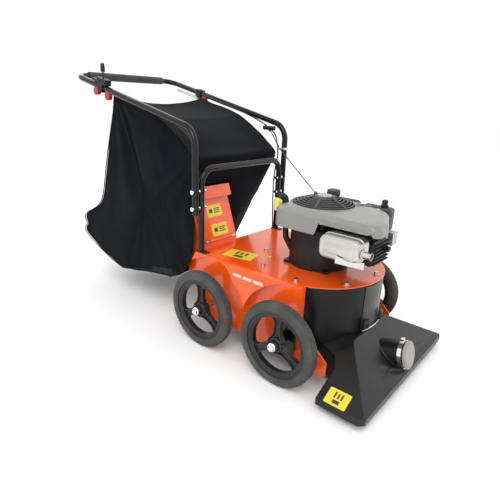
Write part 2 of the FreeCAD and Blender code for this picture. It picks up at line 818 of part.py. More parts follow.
def bag():
    """The cloth bag, hung from the handle, with a hole in its front for the chute to blow in through."""
    cloth = bag_loft(0.0).fuse(bag_cheek(0.0)).cut([bag_loft(3.0), bag_cheek(3.0)])
    margin = 5.0
    start, end = float(P.chute_right) - margin, float(P.chute_left) + margin
    outline = [Vector(start, float(y), float(z)) for y, z in chute_outline(-margin)]
    neck = Part.Face(Part.makePolygon(outline + outline[:1])).extrude(Vector(end - start, 0, 0))
    door = Part.makeBox(end - start, 70, 248, Vector(0, -44, -10))
    door.Placement = Placement(Vector(start, float(BACK), float(DECK)), Rotation(Vector(1, 0, 0), -CHUTE_LEAN))
    shaped("bag", cloth.cut([neck, door]))


# ---- handle and controls -----------------------------------------------------------------------------------------


def upper_points():
    wide = float(P.upper_half_width)
    bend = (float(HANDLE), float(P.upper_bend))
    grip = (float(FRONT + P.grip_setback), float(P.grip_height))
    right = [(-wide, float(HANDLE), float(P.upper_foot)), (-wide, *bend), (-wide, *grip)]
    return right + [(-x, y, z) for x, y, z in reversed(right)]


def tube_height(setback):
    """The height of the upper handle's straight run, that far behind the front axle."""
    share = (setback - float(P.handle_setback)) / (float(P.grip_setback) - float(P.handle_setback))
    return float(P.upper_bend) + share * (float(P.grip_height) - float(P.upper_bend))


HANDLE_SLOPE = math.degrees(
    math.atan2(DRIVING["grip_height"] - DRIVING["upper_bend"], DRIVING["grip_setback"] - DRIVING["handle_setback"])
)


def handle():
    low, wide = float(DECK), float(P.lower_half_width)
    top, y = float(P.lower_top), float(HANDLE)
    hoop = bent_path([(-wide, y, low + 4), (-wide, y, top), (wide, y, top), (wide, y, low + 4)], [60.0, 60.0])
    lower = tube(hoop, P.tube_radius, P.tube_wall)
    for side in (-1, 1):
        foot = Part.makeBox(26, 52, 4, Vector(side * wide - 13, y - 36, low))
        lower = lower.fuse(foot)
    upper_path = bent_path(upper_points(), [75.0, 62.0, 62.0, 75.0])
    upper = tube(upper_path, P.tube_radius, P.tube_wall)

    radius = float(P.tube_radius)
    gap = float(P.upper_half_width - P.lower_half_width) - 2 * radius
    reach = 20 + gap + 3 * radius + 1.5
    bolts = []
    for side in (-1, 1):
        for z in (524.0, 588.0):
            start = Vector(side * (wide - 20), y, z)
            hole = Part.makeCylinder(4.1, 80, start, Vector(side, 0, 0))
            lower, upper = lower.cut(hole), upper.cut(hole)
            shank = Part.makeCylinder(4, reach, start, Vector(side, 0, 0))
            head = Part.makeCylinder(8, 5, start + Vector(side * (reach - 1), 0, 0), Vector(side, 0, 0))
            nut = Part.makeCylinder(7.5, 7, start, Vector(side, 0, 0))
            beside = start + Vector(side * (20 + radius + 0.1), 0, 0)
            spacer = Part.makeCylinder(9, gap - 0.2, beside, Vector(side, 0, 0))
            bolts.append(shank.fuse([head, nut, spacer]))
    shaped("lower_handle", lower)
    shaped("upper_handle", upper)
    shaped("handle_bolts", Part.makeCompound(bolts))

    straight = P.upper_half_width - 62  # between the tube's two corners
    foam = cylinder(P.foam_radius, 2 * straight, -straight, FRONT + P.grip_setback, P.grip_height, "x")
    hollow = cylinder(P.tube_radius + P.running_gap, 600.0, -300.0, FRONT + P.grip_setback, P.grip_height, "x")
    subpart("foam_grip", cut(foam, hollow))


def on_handle(side, setback, lift):
    """A placement on an upper handle tube: X across, Y along the tube towards the grip, Z square to it."""
    turn = Rotation(Vector(1, 0, 0), HANDLE_SLOPE)
    up = turn.multVec(Vector(0, 0, lift))
    base = Vector(side * float(P.upper_half_width), float(FRONT) + setback, tube_height(setback))
    return Placement(base + up, turn)


def controls():
    # throttle: a box clamped on the right tube, and a lever that stands out of its top
    spot = on_handle(-1, 1020.0, 0.0)
    shell = Part.makeBox(30, 64, 24, Vector(-15, -34, 13)).fuse(Part.makeBox(34, 30, 36, Vector(-17, -15, -18)))
    shell = shell.fuse(Part.makeBox(22, 40, 10, Vector(-11, 26, 15)))
    shell = shell.cut(Part.makeCylinder(12.55, 120, Vector(0, -60, 0), Vector(0, 1, 0)))
    shell = shell.cut(Part.makeBox(8, 46, 30, Vector(-4, -24, 14)))
    shaped("throttle_housing", shell, spot)

    lever = Part.makeCylinder(9, 6, Vector(-3, 0, 26), Vector(1, 0, 0))
    lever = lever.fuse(Part.makeCylinder(3, 44, Vector(0, 0, 26)))
    knob = Part.makeCylinder(9, 24, Vector(0, 0, 62)).fuse(Part.makeCone(9, 6, 10, Vector(0, 0, 86)))
    lever = lever.fuse(knob)
    pivot = Vector(0, 0, 26)
    shaped("throttle_lever", lever, Placement(spot.multVec(pivot) - pivot, Rotation()))

    # drive lever: pivots in a clamp on the left tube and runs back under the grip's corner
    spot = on_handle(1, 1004.0, 0.0)
    clamp = Part.makeBox(34, 34, 34, Vector(-17, -17, -17)).fuse(Part.makeBox(16, 30, 14, Vector(-8, -15, -30)))
    clamp = clamp.cut(Part.makeCylinder(12.55, 60, Vector(0, -30, 0), Vector(0, 1, 0)))
    clamp = clamp.cut(Part.makeBox(7, 60, 16, Vector(-3.5, -20, -32)))
    clamp = clamp.cut(Part.makeCylinder(3.05, 40, Vector(-20, 4, -25), Vector(1, 0, 0)))
    shaped("lever_clamp", clamp, spot)
    pin = Part.makeCylinder(3, 18, Vector(-9, 4, -25), Vector(1, 0, 0))
    blade = Part.makeBox(6, 175, 12, Vector(-3, -8, -34)).fuse(pin)
    blade = blade.fuse(Part.makeCylinder(8, 10, Vector(-5, 168, -28), Vector(1, 0, 0)))
    shaped("drive_lever", blade, spot)

    # hooks under the right and left tubes that hold the bag's top corners
    hooks = []
    for side, setback in ((-1, 1062.0), (-1, 978.0), (1, 968.0)):
        hook = Part.makeCylinder(17, 16, Vector(-8, 0, -24), Vector(1, 0, 0)).fuse(
            Part.makeBox(16, 14, 26, Vector(-8, -7, -38))
        )
        hook = hook.cut(Part.makeCylinder(12.55, 80, Vector(0, -40, 0), Vector(0, 1, 0)))
        hook.Placement = on_handle(side, setback, 0.0)
        hooks.append(hook)
    shaped("bag_hooks", Part.makeCompound(hooks))


def cords():
    """The starter rope and the two control cables, along their real routes."""
    wide = float(P.upper_half_width)
    y0 = float(HANDLE)
    # rope: from the recoil housing up to the guide on the left leg, then to the grip parked on the tube
    guide = Vector(*ROPE_GUIDE)
    starter = Vector(*ROPE_EXIT)
    rest = Vector(wide - 36, float(FRONT) + 505, 790.0)
    cord("starter_rope", [starter, guide, rest], 14.0, 2.0)

    # the eye that turns the rope, on a band round the handle's left tube
    halfway = (guide - starter).normalize() + (rest - guide).normalize()
    eye = Part.makeTorus(7, 2, guide, halfway)
    centre = Vector(wide, y0, guide.z)
    outward = (centre - guide).normalize()
    stem = Part.makeCylinder(3, 6, guide + outward * 7.5, outward)
    band = Part.makeCylinder(15, 10, centre - Vector(0, 0, 5))
    band = band.fuse([stem, eye]).cut(Part.makeCylinder(12.55, 40, centre - Vector(0, 0, 20)))
    shaped("rope_guide", band)

    heading = (rest - guide).normalize()
    bar = Part.makeCylinder(9, 60, rest + heading * 16 - Vector(0, 30, 0), Vector(0, 1, 0))
    neck = Part.makeCone(6, 9, 10, rest + heading * 0.6, heading)
    shaped("starter_grip", bar.fuse(neck))

    # throttle cable: clipped along the right tube, down inside the leg and through the deck
    right = -wide + 17.5
    points = [
        (right, float(FRONT) + 985, tube_height(985)),
        (right, y0 + 60, tube_height(510) + 6),
        (right - 1, y0 + 15.6, 700.0),
        (-226.4, y0 + 15.6, 610.0),
        (-226.4, y0 + 12, 440.0),
        (-226.4, y0 + 5, float(DECK) + 0.6),
    ]
    cord("throttle_cable", points, 60.0, 3.0)

    # drive cable: from the lever along the left tube, down behind the leg and through the deck
    left = wide - 17.5
    points = [
        (left, float(FRONT) + 978, tube_height(978)),
        (left, y0 + 60, tube_height(510) + 6),
        (left + 1, y0 + 15.6, 700.0),
        (226.4, y0 + 15.6, 610.0),
        (226.4, y0 + 12, 440.0),
        (226.4, y0 + 5, float(DECK) + 0.6),
    ]
    cord("drive_cable", points, 60.0, 3.0)


# ---- engine ------------------------------------------------------------------------------------------------------


def engine():
    base, top = DECK, DECK + P.block_height
    case = cylinder(P.block_radius, P.block_height, 0, CRANK, base)
    flange = box(-95.0, 95.0, CRANK - 95, CRANK + 95, base, base + 10)
    barrel = box(-62.0, 62.0, CRANK - 214, CRANK - 60, base + 62, top - 6)
    fins = [
        box(-76.0, 76.0, CRANK - 212 + 12 * step, CRANK - 207 + 12 * step, base + 56, top - 2) for step in range(8)
    ]
    cavity = cylinder(82.0, 96.0, 0, CRANK, base + 14)
    shaft_bore = cylinder(P.shaft_radius + P.running_gap, 300.0, 0, CRANK, base - 50)
    subpart("engine_block", cut(fuse(case, flange, barrel, *fins), cavity, shaft_bore))

    head = rounded(box(-64.0, 64.0, CRANK - 238, CRANK - 215, base + 60, top - 4), 8.0, lambda edge: True)
    fins = [box(-58.0, 58.0, CRANK - 246, CRANK - 230, base + 66 + 13 * s, base + 70 + 13 * s) for s in range(6)]
    plug_bore = cylinder(9.0, 90.0, 20.0, CRANK - 300, base + 112, "y")
    subpart("cylinder_head", cut(fuse(head, *fins), plug_bore))

    plug = fuse(
        cylinder(8.9, 26.0, 20.0, CRANK - 252, base + 112, "y"),
        cylinder(10.0, 14.0, 20.0, CRANK - 262, base + 112, "y"),
    )
    subpart("spark_plug", plug)

    can = box(-206.0, -132.0, FRONT - 196, FRONT - 50, base + 103, base + 185)
    can = rounded(can, 18.0, lambda edge: True)
    outlet = cut(
        cylinder(12.0, 44.0, -178.0, FRONT - 226, base + 140, "y"),
        cylinder(10.0, 60.0, -178.0, FRONT - 244, base + 140, "y"),
    )
    stay = box(-134.0, -77.0, CRANK - 200, CRANK - 150, base + 112, base + 132)
    guard = box(-209.0, -204.0, FRONT - 218, FRONT - 120, base + 100, base + 128)
    subpart("muffler", fuse(can, outlet, stay, guard))

    shroud()
    grille()
    tank_and_filter()
    oil_filler()


OIL_MOUTH = (-76.0, 116.0, 214.0)  # from the crankshaft, at the deck's height


def shroud_plan(inset, low, high):
    """The shroud seen from above: square at the back, cut away towards the air filter at the front left."""
    right, left = P.shroud_right + inset, P.shroud_left - inset
    outline = [
        (right, FRONT + 172 - inset),
        (right, FRONT - 232 + inset),
        (-92.0, FRONT - 232 + inset),
        (62.0 - inset, FRONT - 166 + inset),
        (left, FRONT - 92 + inset),
        (left, FRONT + 172 - inset),
    ]
    return padded("XY_Plane", outline, high - low, low)


def shroud():
    low, high = DECK + P.shroud_bottom, DECK + P.shroud_top
    shell = rounded(shroud_plan(0.0, low, high), 38.0, upright)
    shell = rounded(shell, 12.0, level_at(high))
    inner = rounded(shroud_plan(2.5, low - 20, high - 2.5), 35.5, upright)
    eye = cylinder(P.grille_radius - 4, 40.0, 0, CRANK, high - 20)
    notch = box(P.shroud_right - 10, -112.0, FRONT - 208, FRONT - 14, low - 10, low + 44)
    head_gap = box(-96.0, P.shroud_left + 10, FRONT - 250, FRONT - 130, low - 10, low + 16)
    filler_gap = cylinder(17.0, 200.0, OIL_MOUTH[0] + 1, float(CRANK) + OIL_MOUTH[1] - 2, low - 60)
    subpart("engine_shroud", cut(shell, inner, eye, notch, head_gap, filler_gap))


ROPE_GUIDE = (DRIVING["upper_half_width"] - 24, float(HANDLE) + 8, 716.0)
ROPE_EXIT = (5.0, float(CRANK) + 42, float(DECK) + 259)


def grille():
    """The recoil starter's cover: rings that step up to a solid cap, tied by six spokes."""
    rings = []
    steps = 6
    for step in range(steps):
        outer = 111.0 - 12.0 * step
        low = 0.2 + 3.4 * step
        rings.append(cut(cylinder(outer, 5.0, 0, 0, low), cylinder(outer - 5.5, 30.0, 0, 0, low - 10)))
    cap = cone(44.0, 38.0, 8.0, 0, 0, 20.0)
    spokes = []
    for step in range(6):
        turn = Rotation(Vector(0, 0, 1), 60 * step + 15)
        side = [(36.0, 20.0), (108.0, 0.2), (111.0, 0.2), (111.0, 4.5), (44.0, 26.0), (36.0, 27.0)]
        spoke = padded("XZ_Plane", side, 7.0, -3.5)
        spokes.append(place(spoke, 0, 0, 0, turn))
    aim = Rotation(Vector(0, 0, 1), Vector(*ROPE_GUIDE) - Vector(*ROPE_EXIT))
    local = Vector(*ROPE_EXIT) - Vector(0, float(CRANK), float(DECK + P.shroud_top))
    outlet = cylinder(7.0, 20.0, *(local + aim.multVec(Vector(0, 0, -20))), turn=aim)
    cover = fuse(cap, *rings, *spokes, outlet)
    subpart("recoil_cover", place(cover, 0, CRANK, DECK + P.shroud_top))


def tank_and_filter():
    top = DECK + P.shroud_top
    left = P.shroud_left + 1
    tank = rounded(box(left, left + 44, CRANK - 70, CRANK + 104, DECK + 90, top - 2), 14.0, lambda edge: True)
    neck = cylinder(16.0, 14.0, left + 20, CRANK + 44, top - 8)
    subpart("fuel_tank", fuse(tank, neck))
    cap = cut(cylinder(26.0, 24.0, left + 20, CRANK + 44, top + 0.5), cylinder(16.5, 8.0, left + 20, CRANK + 44, top))
    subpart("fuel_cap", cap)

    housing = rounded(box(left, left + 42, FRONT - 146, FRONT - 30, top - 94, top - 6), 12.0, lambda edge: True)
    subpart("air_filter", housing)
    knob = fuse(
        cylinder(15.0, 7.0, left + 16, FRONT - 112, top - 5.5),
        cylinder(11.0, 19.0, left + 16, FRONT - 112, top + 1),
    )
    subpart("air_filter_knob", knob)

    body = fuse(
        box(84.0, left - 2, FRONT - 182, FRONT - 116, DECK + 104, DECK + 150),
        cylinder(16.0, 46.0, 60.0, FRONT - 132, DECK + 122, "x"),
    )
    subpart("carburettor", cut(body, box(40.0, 79.0, FRONT - 200, FRONT, DECK, DECK + 200)))


def oil_filler():
    """The oil filler tube at the back right of the engine, and the dipstick that caps it."""
    foot = Vector(-62.0, float(CRANK) + 78, float(DECK) + 40)
    knee = Vector(-72.0, float(CRANK) + 108, float(DECK) + 90)
    mouth = Vector(OIL_MOUTH[0], float(CRANK) + OIL_MOUTH[1], float(DECK) + OIL_MOUTH[2])
    path = bent_path([foot, knee, mouth], [40.0])
    shape = tube(path, 11.0, 2.0)
    keep_out = Part.makeCylinder(float(P.block_radius) + 0.1, 200, Vector(0, float(CRANK), float(DECK)))
    shaped("oil_filler", shape.cut(keep_out))
    aim = (mouth - knee).normalize()
    cap = Part.makeCylinder(15, 22, mouth + aim * 0.5, aim)
    crown = Part.makeSphere(14, mouth + aim * 24)
    outwards = Vector(-1, 0.62, 0).normalize()
    elbow = Part.makeCylinder(12, 34, mouth + aim * 25, outwards)
    bar = Part.makeBox(24, 32, 48, Vector(-12, -16, -46))
    bar.Placement = Placement(mouth + aim * 25 + outwards * 30, Rotation(Vector(1, 0, 0), outwards))
    stick = Part.makeCylinder(3, 70, mouth - aim * 69, aim)
    shaped("dipstick", cap.fuse([crown, elbow, bar, stick]))


# ---- build, check and export -------------------------------------------------------------------------------------

deck_body(running_gear())
impeller_housing()
rotor()
drive()
nozzle()
chute()
bag()
handle()
controls()
cords()
engine()
doc.recompute()

problems = [f"{o.Name} {o.Label}: {o.State}" for o in doc.Objects if {"Invalid", "Error"} & set(o.State)]
for part in parts:
    shape = part.Shape
    if shape.isNull() or not shape.isValid() or not shape.Solids:
        problems.append(f"{part.Label}: null, invalid or empty shape")
if problems:
    raise RuntimeError("; ".join(problems))

os.makedirs("parts", exist_ok=True)
for part in parts:
    part.Shape.exportStep(os.path.join("parts", f"{part.Label}.step"))
print(f"{len(parts)} sub-parts written")
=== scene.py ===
"""Looks for the walk-behind leaf vacuum: materials, detailed pieces, floor, lights and camera."""

import bmesh
import bpy
import json
import math
import random

from mathutils import Matrix, Vector


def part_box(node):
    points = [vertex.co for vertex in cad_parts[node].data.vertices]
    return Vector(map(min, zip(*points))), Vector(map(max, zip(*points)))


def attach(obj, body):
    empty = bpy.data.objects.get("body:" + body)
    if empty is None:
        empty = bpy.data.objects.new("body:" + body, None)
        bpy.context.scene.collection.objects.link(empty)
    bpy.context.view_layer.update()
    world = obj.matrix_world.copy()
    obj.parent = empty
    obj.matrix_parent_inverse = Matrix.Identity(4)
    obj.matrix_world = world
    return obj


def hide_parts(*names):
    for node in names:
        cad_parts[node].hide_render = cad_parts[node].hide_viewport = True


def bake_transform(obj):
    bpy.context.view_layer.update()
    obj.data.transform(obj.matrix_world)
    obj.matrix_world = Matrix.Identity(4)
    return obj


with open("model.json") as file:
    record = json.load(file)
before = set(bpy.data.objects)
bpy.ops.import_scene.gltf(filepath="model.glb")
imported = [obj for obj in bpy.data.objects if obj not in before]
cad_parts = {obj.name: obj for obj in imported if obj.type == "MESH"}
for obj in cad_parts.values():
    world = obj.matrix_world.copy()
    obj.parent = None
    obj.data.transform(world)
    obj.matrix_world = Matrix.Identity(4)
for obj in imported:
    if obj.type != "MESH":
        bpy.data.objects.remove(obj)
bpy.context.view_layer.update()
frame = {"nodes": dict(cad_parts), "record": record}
NODES = frame["nodes"]
random.seed(7)

# ---- places taken from the frame ---------------------------------------------------------------------

TYRE_LOW, TYRE_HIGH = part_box("tyre_front_right")
FRONT = (TYRE_LOW.y + TYRE_HIGH.y) / 2
REAR = sum(v.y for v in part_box("tyre_rear_right")) / 2
AXLE_Z = (TYRE_LOW.z + TYRE_HIGH.z) / 2
CRANK = sum(v.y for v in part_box("impeller")) / 2
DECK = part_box("recoil_cover")[0].z - 0.230
HANDLE = FRONT + 0.450


# ---- materials ---------------------------------------------------------------------------------------


class Shader:
    """A node material under construction."""

    def __init__(self, name):
        self.mat = bpy.data.materials.new(name)
        self.mat.use_nodes = True
        self.tree = self.mat.node_tree
        self.out = self.tree.nodes["Principled BSDF"]
        self.coords = self.add("ShaderNodeTexCoord").outputs["Object"]

    def add(self, kind, **values):
        node = self.tree.nodes.new(kind)
        for key, value in values.items():
            if key in node.inputs:
                self.plug(value, node.inputs[key])
            else:
                setattr(node, key, value)
        return node

    def plug(self, value, socket):
        if isinstance(value, bpy.types.NodeSocket):
            self.tree.links.new(value, socket)
        else:
            socket.default_value = value

    def set(self, **values):
        for key, value in values.items():
            self.plug(value, self.out.inputs[key.replace("_", " ")])

    def noise(self, scale, detail=3.0, rough=0.55, stretch=(1, 1, 1)):
        mapped = self.add("ShaderNodeMapping", Vector=self.coords, Scale=stretch)
        node = self.add("ShaderNodeTexNoise", Vector=mapped.outputs[0], Scale=scale)
        self.plug(detail, node.inputs["Detail"])
        self.plug(rough, node.inputs["Roughness"])
        return node.outputs["Fac"]

    def ramp(self, fac, stops):
        node = self.add("ShaderNodeValToRGB", Fac=fac)
        ends = node.color_ramp.elements
        for i, (place, colour) in enumerate(stops):
            stop = ends[i] if i < 2 else ends.new(place)
            stop.position = place
            stop.color = colour if len(colour) == 4 else (*colour, 1)
        return node.outputs["Color"]

    def mix(self, fac, a, b):
        node = self.add("ShaderNodeMix", data_type="RGBA")
        for value, socket in ((fac, node.inputs["Factor"]), (a, node.inputs[6]), (b, node.inputs[7])):
            if isinstance(value, tuple) and len(value) == 3:
                value = (*value, 1)
            self.plug(value, socket)
        return node.outputs[2]

    def range(self, fac, low, high, start=0.0, stop=1.0):
        node = self.add("ShaderNodeMapRange", Value=fac)
        for key, value in (("From Min", start), ("From Max", stop), ("To Min", low), ("To Max", high)):
            node.inputs[key].default_value = value
        return node.outputs[0]

    def bump(self, height, strength, distance, under=None):
        node = self.add("ShaderNodeBump", Height=height, Strength=strength, Distance=distance)
        if under is not None:
            self.plug(under, node.inputs["Normal"])
        return node.outputs[0]

    def edges(self, radius=0.0025):
        """1 on a rounded-off edge, 0 on the flat."""
        soft = self.add("ShaderNodeBevel", samples=4)
        soft.inputs["Radius"].default_value = radius
        geometry = self.add("ShaderNodeNewGeometry")
        dot = self.add("ShaderNodeVectorMath", operation="DOT_PRODUCT")
        self.plug(soft.outputs[0], dot.inputs[0])
        self.plug(geometry.outputs["Normal"], dot.inputs[1])
        return self.range(dot.outputs["Value"], 1.0, 0.0, 0.86, 0.99)


def painted(name, colour, rough=0.22, dust=0.08, worn=(0.3, 0.3, 0.3), coat=0.6, shine=0.5):
    """Powder coat: orange-peel ripple, faint uneven tone, dust, rubbed edges."""
    s = Shader(name)
    darker, lighter = tuple(c * 0.93 for c in colour), tuple(min(1, c * 1.05) for c in colour)
    tone = s.ramp(s.noise(3.0), [(0.3, darker), (0.7, lighter)])
    dusty = s.range(s.noise(9.0, 5.0), 0.0, dust, 0.45, 0.8)
    tone = s.mix(dusty, tone, (0.35, 0.32, 0.28))
    rubbed = s.add("ShaderNodeMath", operation="MULTIPLY")
    s.plug(s.edges(), rubbed.inputs[0])
    s.plug(s.range(s.noise(60.0), 0.0, 1.0, 0.52, 0.66), rubbed.inputs[1])
    s.set(Base_Color=s.mix(rubbed.outputs[0], tone, worn))
    s.set(Roughness=s.range(s.noise(22.0), rough * 0.8, rough * 1.35), Coat_Weight=coat, Coat_Roughness=0.08)
    s.set(Specular_IOR_Level=shine)
    s.set(Normal=s.bump(s.noise(420.0, 1.0), 0.05, 0.0006))
    return s.mat


def plastic(name, colour, rough=0.45, grain=700.0, grain_depth=0.12, fade=0.1, shine=0.5):
    """Moulded plastic: fine grain, slightly faded patches, dull edges."""
    s = Shader(name)
    light = tuple(c + (0.35 - c) * fade for c in colour)
    tone = s.ramp(s.noise(7.0, 4.0), [(0.35, colour), (0.75, light)])
    s.set(Base_Color=s.mix(s.range(s.edges(), 0.0, 0.22), tone, (0.22, 0.22, 0.22)))
    s.set(Roughness=s.range(s.noise(30.0), rough * 0.85, rough * 1.2), Specular_IOR_Level=shine)
    s.set(Normal=s.bump(s.noise(grain, 2.0), grain_depth, 0.0004))
    return s.mat


def metal(name, colour, rough=0.3, brushed=(1, 1, 1), stain=0.25, scale=120.0):
    """Bare metal: brushing or cast grain, and stains in the low places."""
    s = Shader(name)
    dull = tuple(c * 0.55 for c in colour)
    stained = s.range(s.noise(8.0, 6.0), 0.0, stain, 0.45, 0.75)
    s.set(Base_Color=s.mix(stained, colour, dull), Metallic=1.0)
    s.set(Roughness=s.range(s.noise(scale, 3.0, 0.6, brushed), rough * 0.7, rough * 1.5))
    s.set(Normal=s.bump(s.noise(scale * 2, 2.0, 0.5, brushed), 0.08, 0.0004))
    return s.mat


def rubber_mat(name, colour, rough=0.75, dust=0.35):
    s = Shader(name)
    tone = s.mix(s.range(s.noise(14.0, 6.0), 0.0, dust, 0.42, 0.8), colour, (0.20, 0.19, 0.165))
    s.set(Base_Color=tone, Roughness=s.range(s.noise(40.0), rough * 0.9, min(1, rough * 1.15)))
    s.set(Normal=s.bump(s.noise(260.0, 4.0), 0.25, 0.0006))
    return s.mat


def foam_mat(name):
    s = Shader(name)
    cells = s.add("ShaderNodeTexVoronoi", Vector=s.coords, Scale=900.0)
    s.set(Base_Color=s.ramp(s.noise(25.0), [(0.3, (0.022, 0.024, 0.027)), (0.8, (0.05, 0.053, 0.058))]))
    s.set(Roughness=0.85, Normal=s.bump(cells.outputs["Distance"], 0.35, 0.0006), Sheen_Weight=0.25)
    return s.mat


def weave(s, scale, strength, distance, under=None):
    """The threads of a plain weave: waves along the three axes, added up."""
    total = 0.0
    for direction in ("X", "Y", "Z"):
        wave = s.add("ShaderNodeTexWave", Vector=s.coords, Scale=scale, bands_direction=direction)
        both = s.add("ShaderNodeMath", operation="ADD")
        s.plug(total, both.inputs[0])
        s.plug(wave.outputs["Fac"], both.inputs[1])
        total = both.outputs[0]
    return s.bump(total, strength, distance, under)


def cloth_mat(name, colour, sheen=0.02, shine=0.07):
    s = Shader(name)
    lighter = tuple(c * 1.7 + 0.004 for c in colour)
    s.set(Base_Color=s.ramp(s.noise(5.0, 5.0), [(0.3, colour), (0.75, lighter)]), Roughness=0.82)
    s.set(Sheen_Weight=sheen, Sheen_Roughness=0.5, Specular_IOR_Level=shine)
    creases = s.bump(s.noise(11.0, 4.0, 0.6), 0.35, 0.006)
    s.set(Normal=weave(s, 260.0, 0.25, 0.0004, creases))
    return s.mat


ORANGE = painted("orange_paint", (0.90, 0.095, 0.004), 0.2, 0.03, (0.55, 0.16, 0.05), 0.45)
BLACK = painted("black_paint", (0.004, 0.004, 0.005), 0.16, 0.02, (0.06, 0.06, 0.06), 0.12, 0.28)
HOUSING = painted("housing_paint", (0.003, 0.003, 0.004), 0.30, 0.02, (0.04, 0.04, 0.04), 0.0, 0.25)
PLATE = painted("access_plate_paint", (0.045, 0.047, 0.038), 0.34, 0.05, (0.18, 0.18, 0.15), 0.0, 0.3)
NOZZLE = plastic("nozzle_black", (0.008, 0.0075, 0.007), 0.30, 500.0, 0.06, 0.02, 0.32)
BRIGHT = metal("zinc_steel", (0.66, 0.65, 0.62), 0.28, (1, 1, 12))
CHROME = metal("chrome", (0.86, 0.86, 0.86), 0.09, (1, 1, 1), 0.06)
ALLOY = metal("cast_alloy", (0.55, 0.55, 0.54), 0.45, (1, 1, 1), 0.4, 300.0)
MUFFLER = metal("aluminised_steel", (0.60, 0.58, 0.53), 0.33, (1, 1, 1), 0.35, 90.0)
ENGINE = painted("engine_enamel", (0.005, 0.005, 0.006), 0.42, 0.06, (0.05, 0.05, 0.05), 0.0, 0.3)
SHROUD = painted("shroud_paint", (0.22, 0.22, 0.205), 0.34, 0.06, (0.36, 0.36, 0.33), 0.2)
CHARCOAL = plastic("charcoal_plastic", (0.030, 0.034, 0.038), 0.42, 600.0, 0.12, 0.08)
PLASTIC = plastic("black_plastic", (0.005, 0.005, 0.006), 0.42, 800.0, 0.12, 0.02, 0.35)
RIM = plastic("rim_plastic", (0.009, 0.009, 0.011), 0.34, 500.0, 0.08, 0.03, 0.4)
TYRE = rubber_mat("tyre_rubber", (0.045, 0.045, 0.041))
RUBBER = rubber_mat("belt_rubber", (0.02, 0.02, 0.02), 0.7, 0.2)
FOAM = foam_mat("foam_rubber")
CLOTH = cloth_mat("bag_cloth", (0.0014, 0.0022, 0.0046))
# A lighter copy of the bag cloth, used as a painted highlight on the upward-facing top faces and on the seam
# piping.
CLOTH_PAINTED_HIGHLIGHT = cloth_mat("bag_cloth_painted_highlight", (0.0032, 0.0038, 0.0062), 0.03)
WEBBING = cloth_mat("bag_webbing", (0.014, 0.016, 0.018), 0.04)
ROPE = cloth_mat("rope_cord", (0.05, 0.05, 0.05), 0.05)
CABLE = rubber_mat("cable_sleeve", (0.010, 0.010, 0.010), 0.4, 0.1)
RED = plastic("red_plastic", (0.42, 0.012, 0.010), 0.25, 500.0, 0.04, 0.03)
YELLOW = plastic("yellow_plastic", (0.75, 0.70, 0.10), 0.32, 500.0, 0.05, 0.03)
GREY = plastic("grey_plastic", (0.34, 0.32, 0.29), 0.5, 500.0, 0.1, 0.08)
LABEL = plastic("label_yellow", (0.82, 0.62, 0.02), 0.35, 300.0, 0.03, 0.06)
INK = plastic("label_ink", (0.04, 0.03, 0.02), 0.4, 300.0, 0.03, 0.02)
PALE = plastic("pale_stripe", (0.62, 0.62, 0.60), 0.35, 300.0, 0.03, 0.03)

BY_SLOT = {
    "orange_paint": ORANGE,
    "black_paint": BLACK,
    "nozzle_black": NOZZLE,
    "steel_bright": BRIGHT,
    "chrome": CHROME,
    "cast_alloy": ALLOY,
    "engine_black": ENGINE,
    "shroud_grey": SHROUD,
    "charcoal_plastic": CHARCOAL,
    "black_plastic": PLASTIC,
    "rim_plastic": RIM,
    "tyre_rubber": TYRE,
    "rubber": RUBBER,
    "foam": FOAM,
    "bag_cloth": CLOTH,
    "cord": ROPE,
    "red_plastic": RED,
    "yellow_plastic": YELLOW,
    "grey_plastic": GREY,
}
OWN = {"access_plate": PLATE, "housing_cover": HOUSING, "impeller_housing": HOUSING, "muffler": MUFFLER}
for entry in frame["record"]["subparts"]:
    shown = NODES[entry["node"]]
    shown.data.materials.clear()
    shown.data.materials.append(OWN.get(entry["node"], BY_SLOT[entry["material_slot"]]))

# ---- mesh helpers ------------------------------------------------------------------------------------


def finish_piece(obj, mat, body, replaces=(), bevel=0.0, subdivide=0, smooth=40):
    """Gives a new mesh its material, rounded edges, smooth shading and body."""
    obj.data.materials.clear()
    obj.data.materials.append(mat)
    for poly in obj.data.polygons:
        poly.use_smooth = True
    if bevel:
        modifier = obj.modifiers.new("edges", "BEVEL")
        modifier.width = bevel
        modifier.segments = 3
        modifier.limit_method = "ANGLE"
        modifier.angle_limit = math.radians(35)
        modifier.harden_normals = False
    if subdivide:
        modifier = obj.modifiers.new("smooth", "SUBSURF")
        modifier.levels = modifier.render_levels = subdivide
    elif smooth:
        obj.data.set_sharp_from_angle(angle=math.radians(smooth))
    if body:
        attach(obj, body)
    if replaces:
        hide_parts(*replaces)
    return obj


def mesh_object(name, verts, faces):
    data = bpy.data.meshes.new(name)
    data.from_pydata([tuple(v) for v in verts], [], faces)
    data.validate()
    obj = bpy.data.objects.new(name, data)
    bpy.context.collection.objects.link(obj)
    fix = bmesh.new()
    fix.from_mesh(data)
    bmesh.ops.remove_doubles(fix, verts=fix.verts, dist=1e-6)
    bmesh.ops.recalc_face_normals(fix, faces=fix.faces)
    fix.to_mesh(data)
    fix.free()
    return obj


def lathe(name, profile, place, steps=64, shape=None):
    """Turns (along, radius) points about an axis. place() gives each point, shape(i, j) adds to the radius."""
    verts, faces = [], []
    count = len(profile)
    for j in range(steps):
        angle = 2 * math.pi * j / steps
        for i, (along, radius) in enumerate(profile):
            r = radius + (shape(i, j) if shape else 0.0)
            verts.append(place(along, r * math.cos(angle), r * math.sin(angle)))
    for j in range(steps):
        for i in range(count - 1):
            a, b = j * count + i, ((j + 1) % steps) * count + i
            faces.append((a, b, b + 1, a + 1))
    return mesh_object(name, verts, faces)


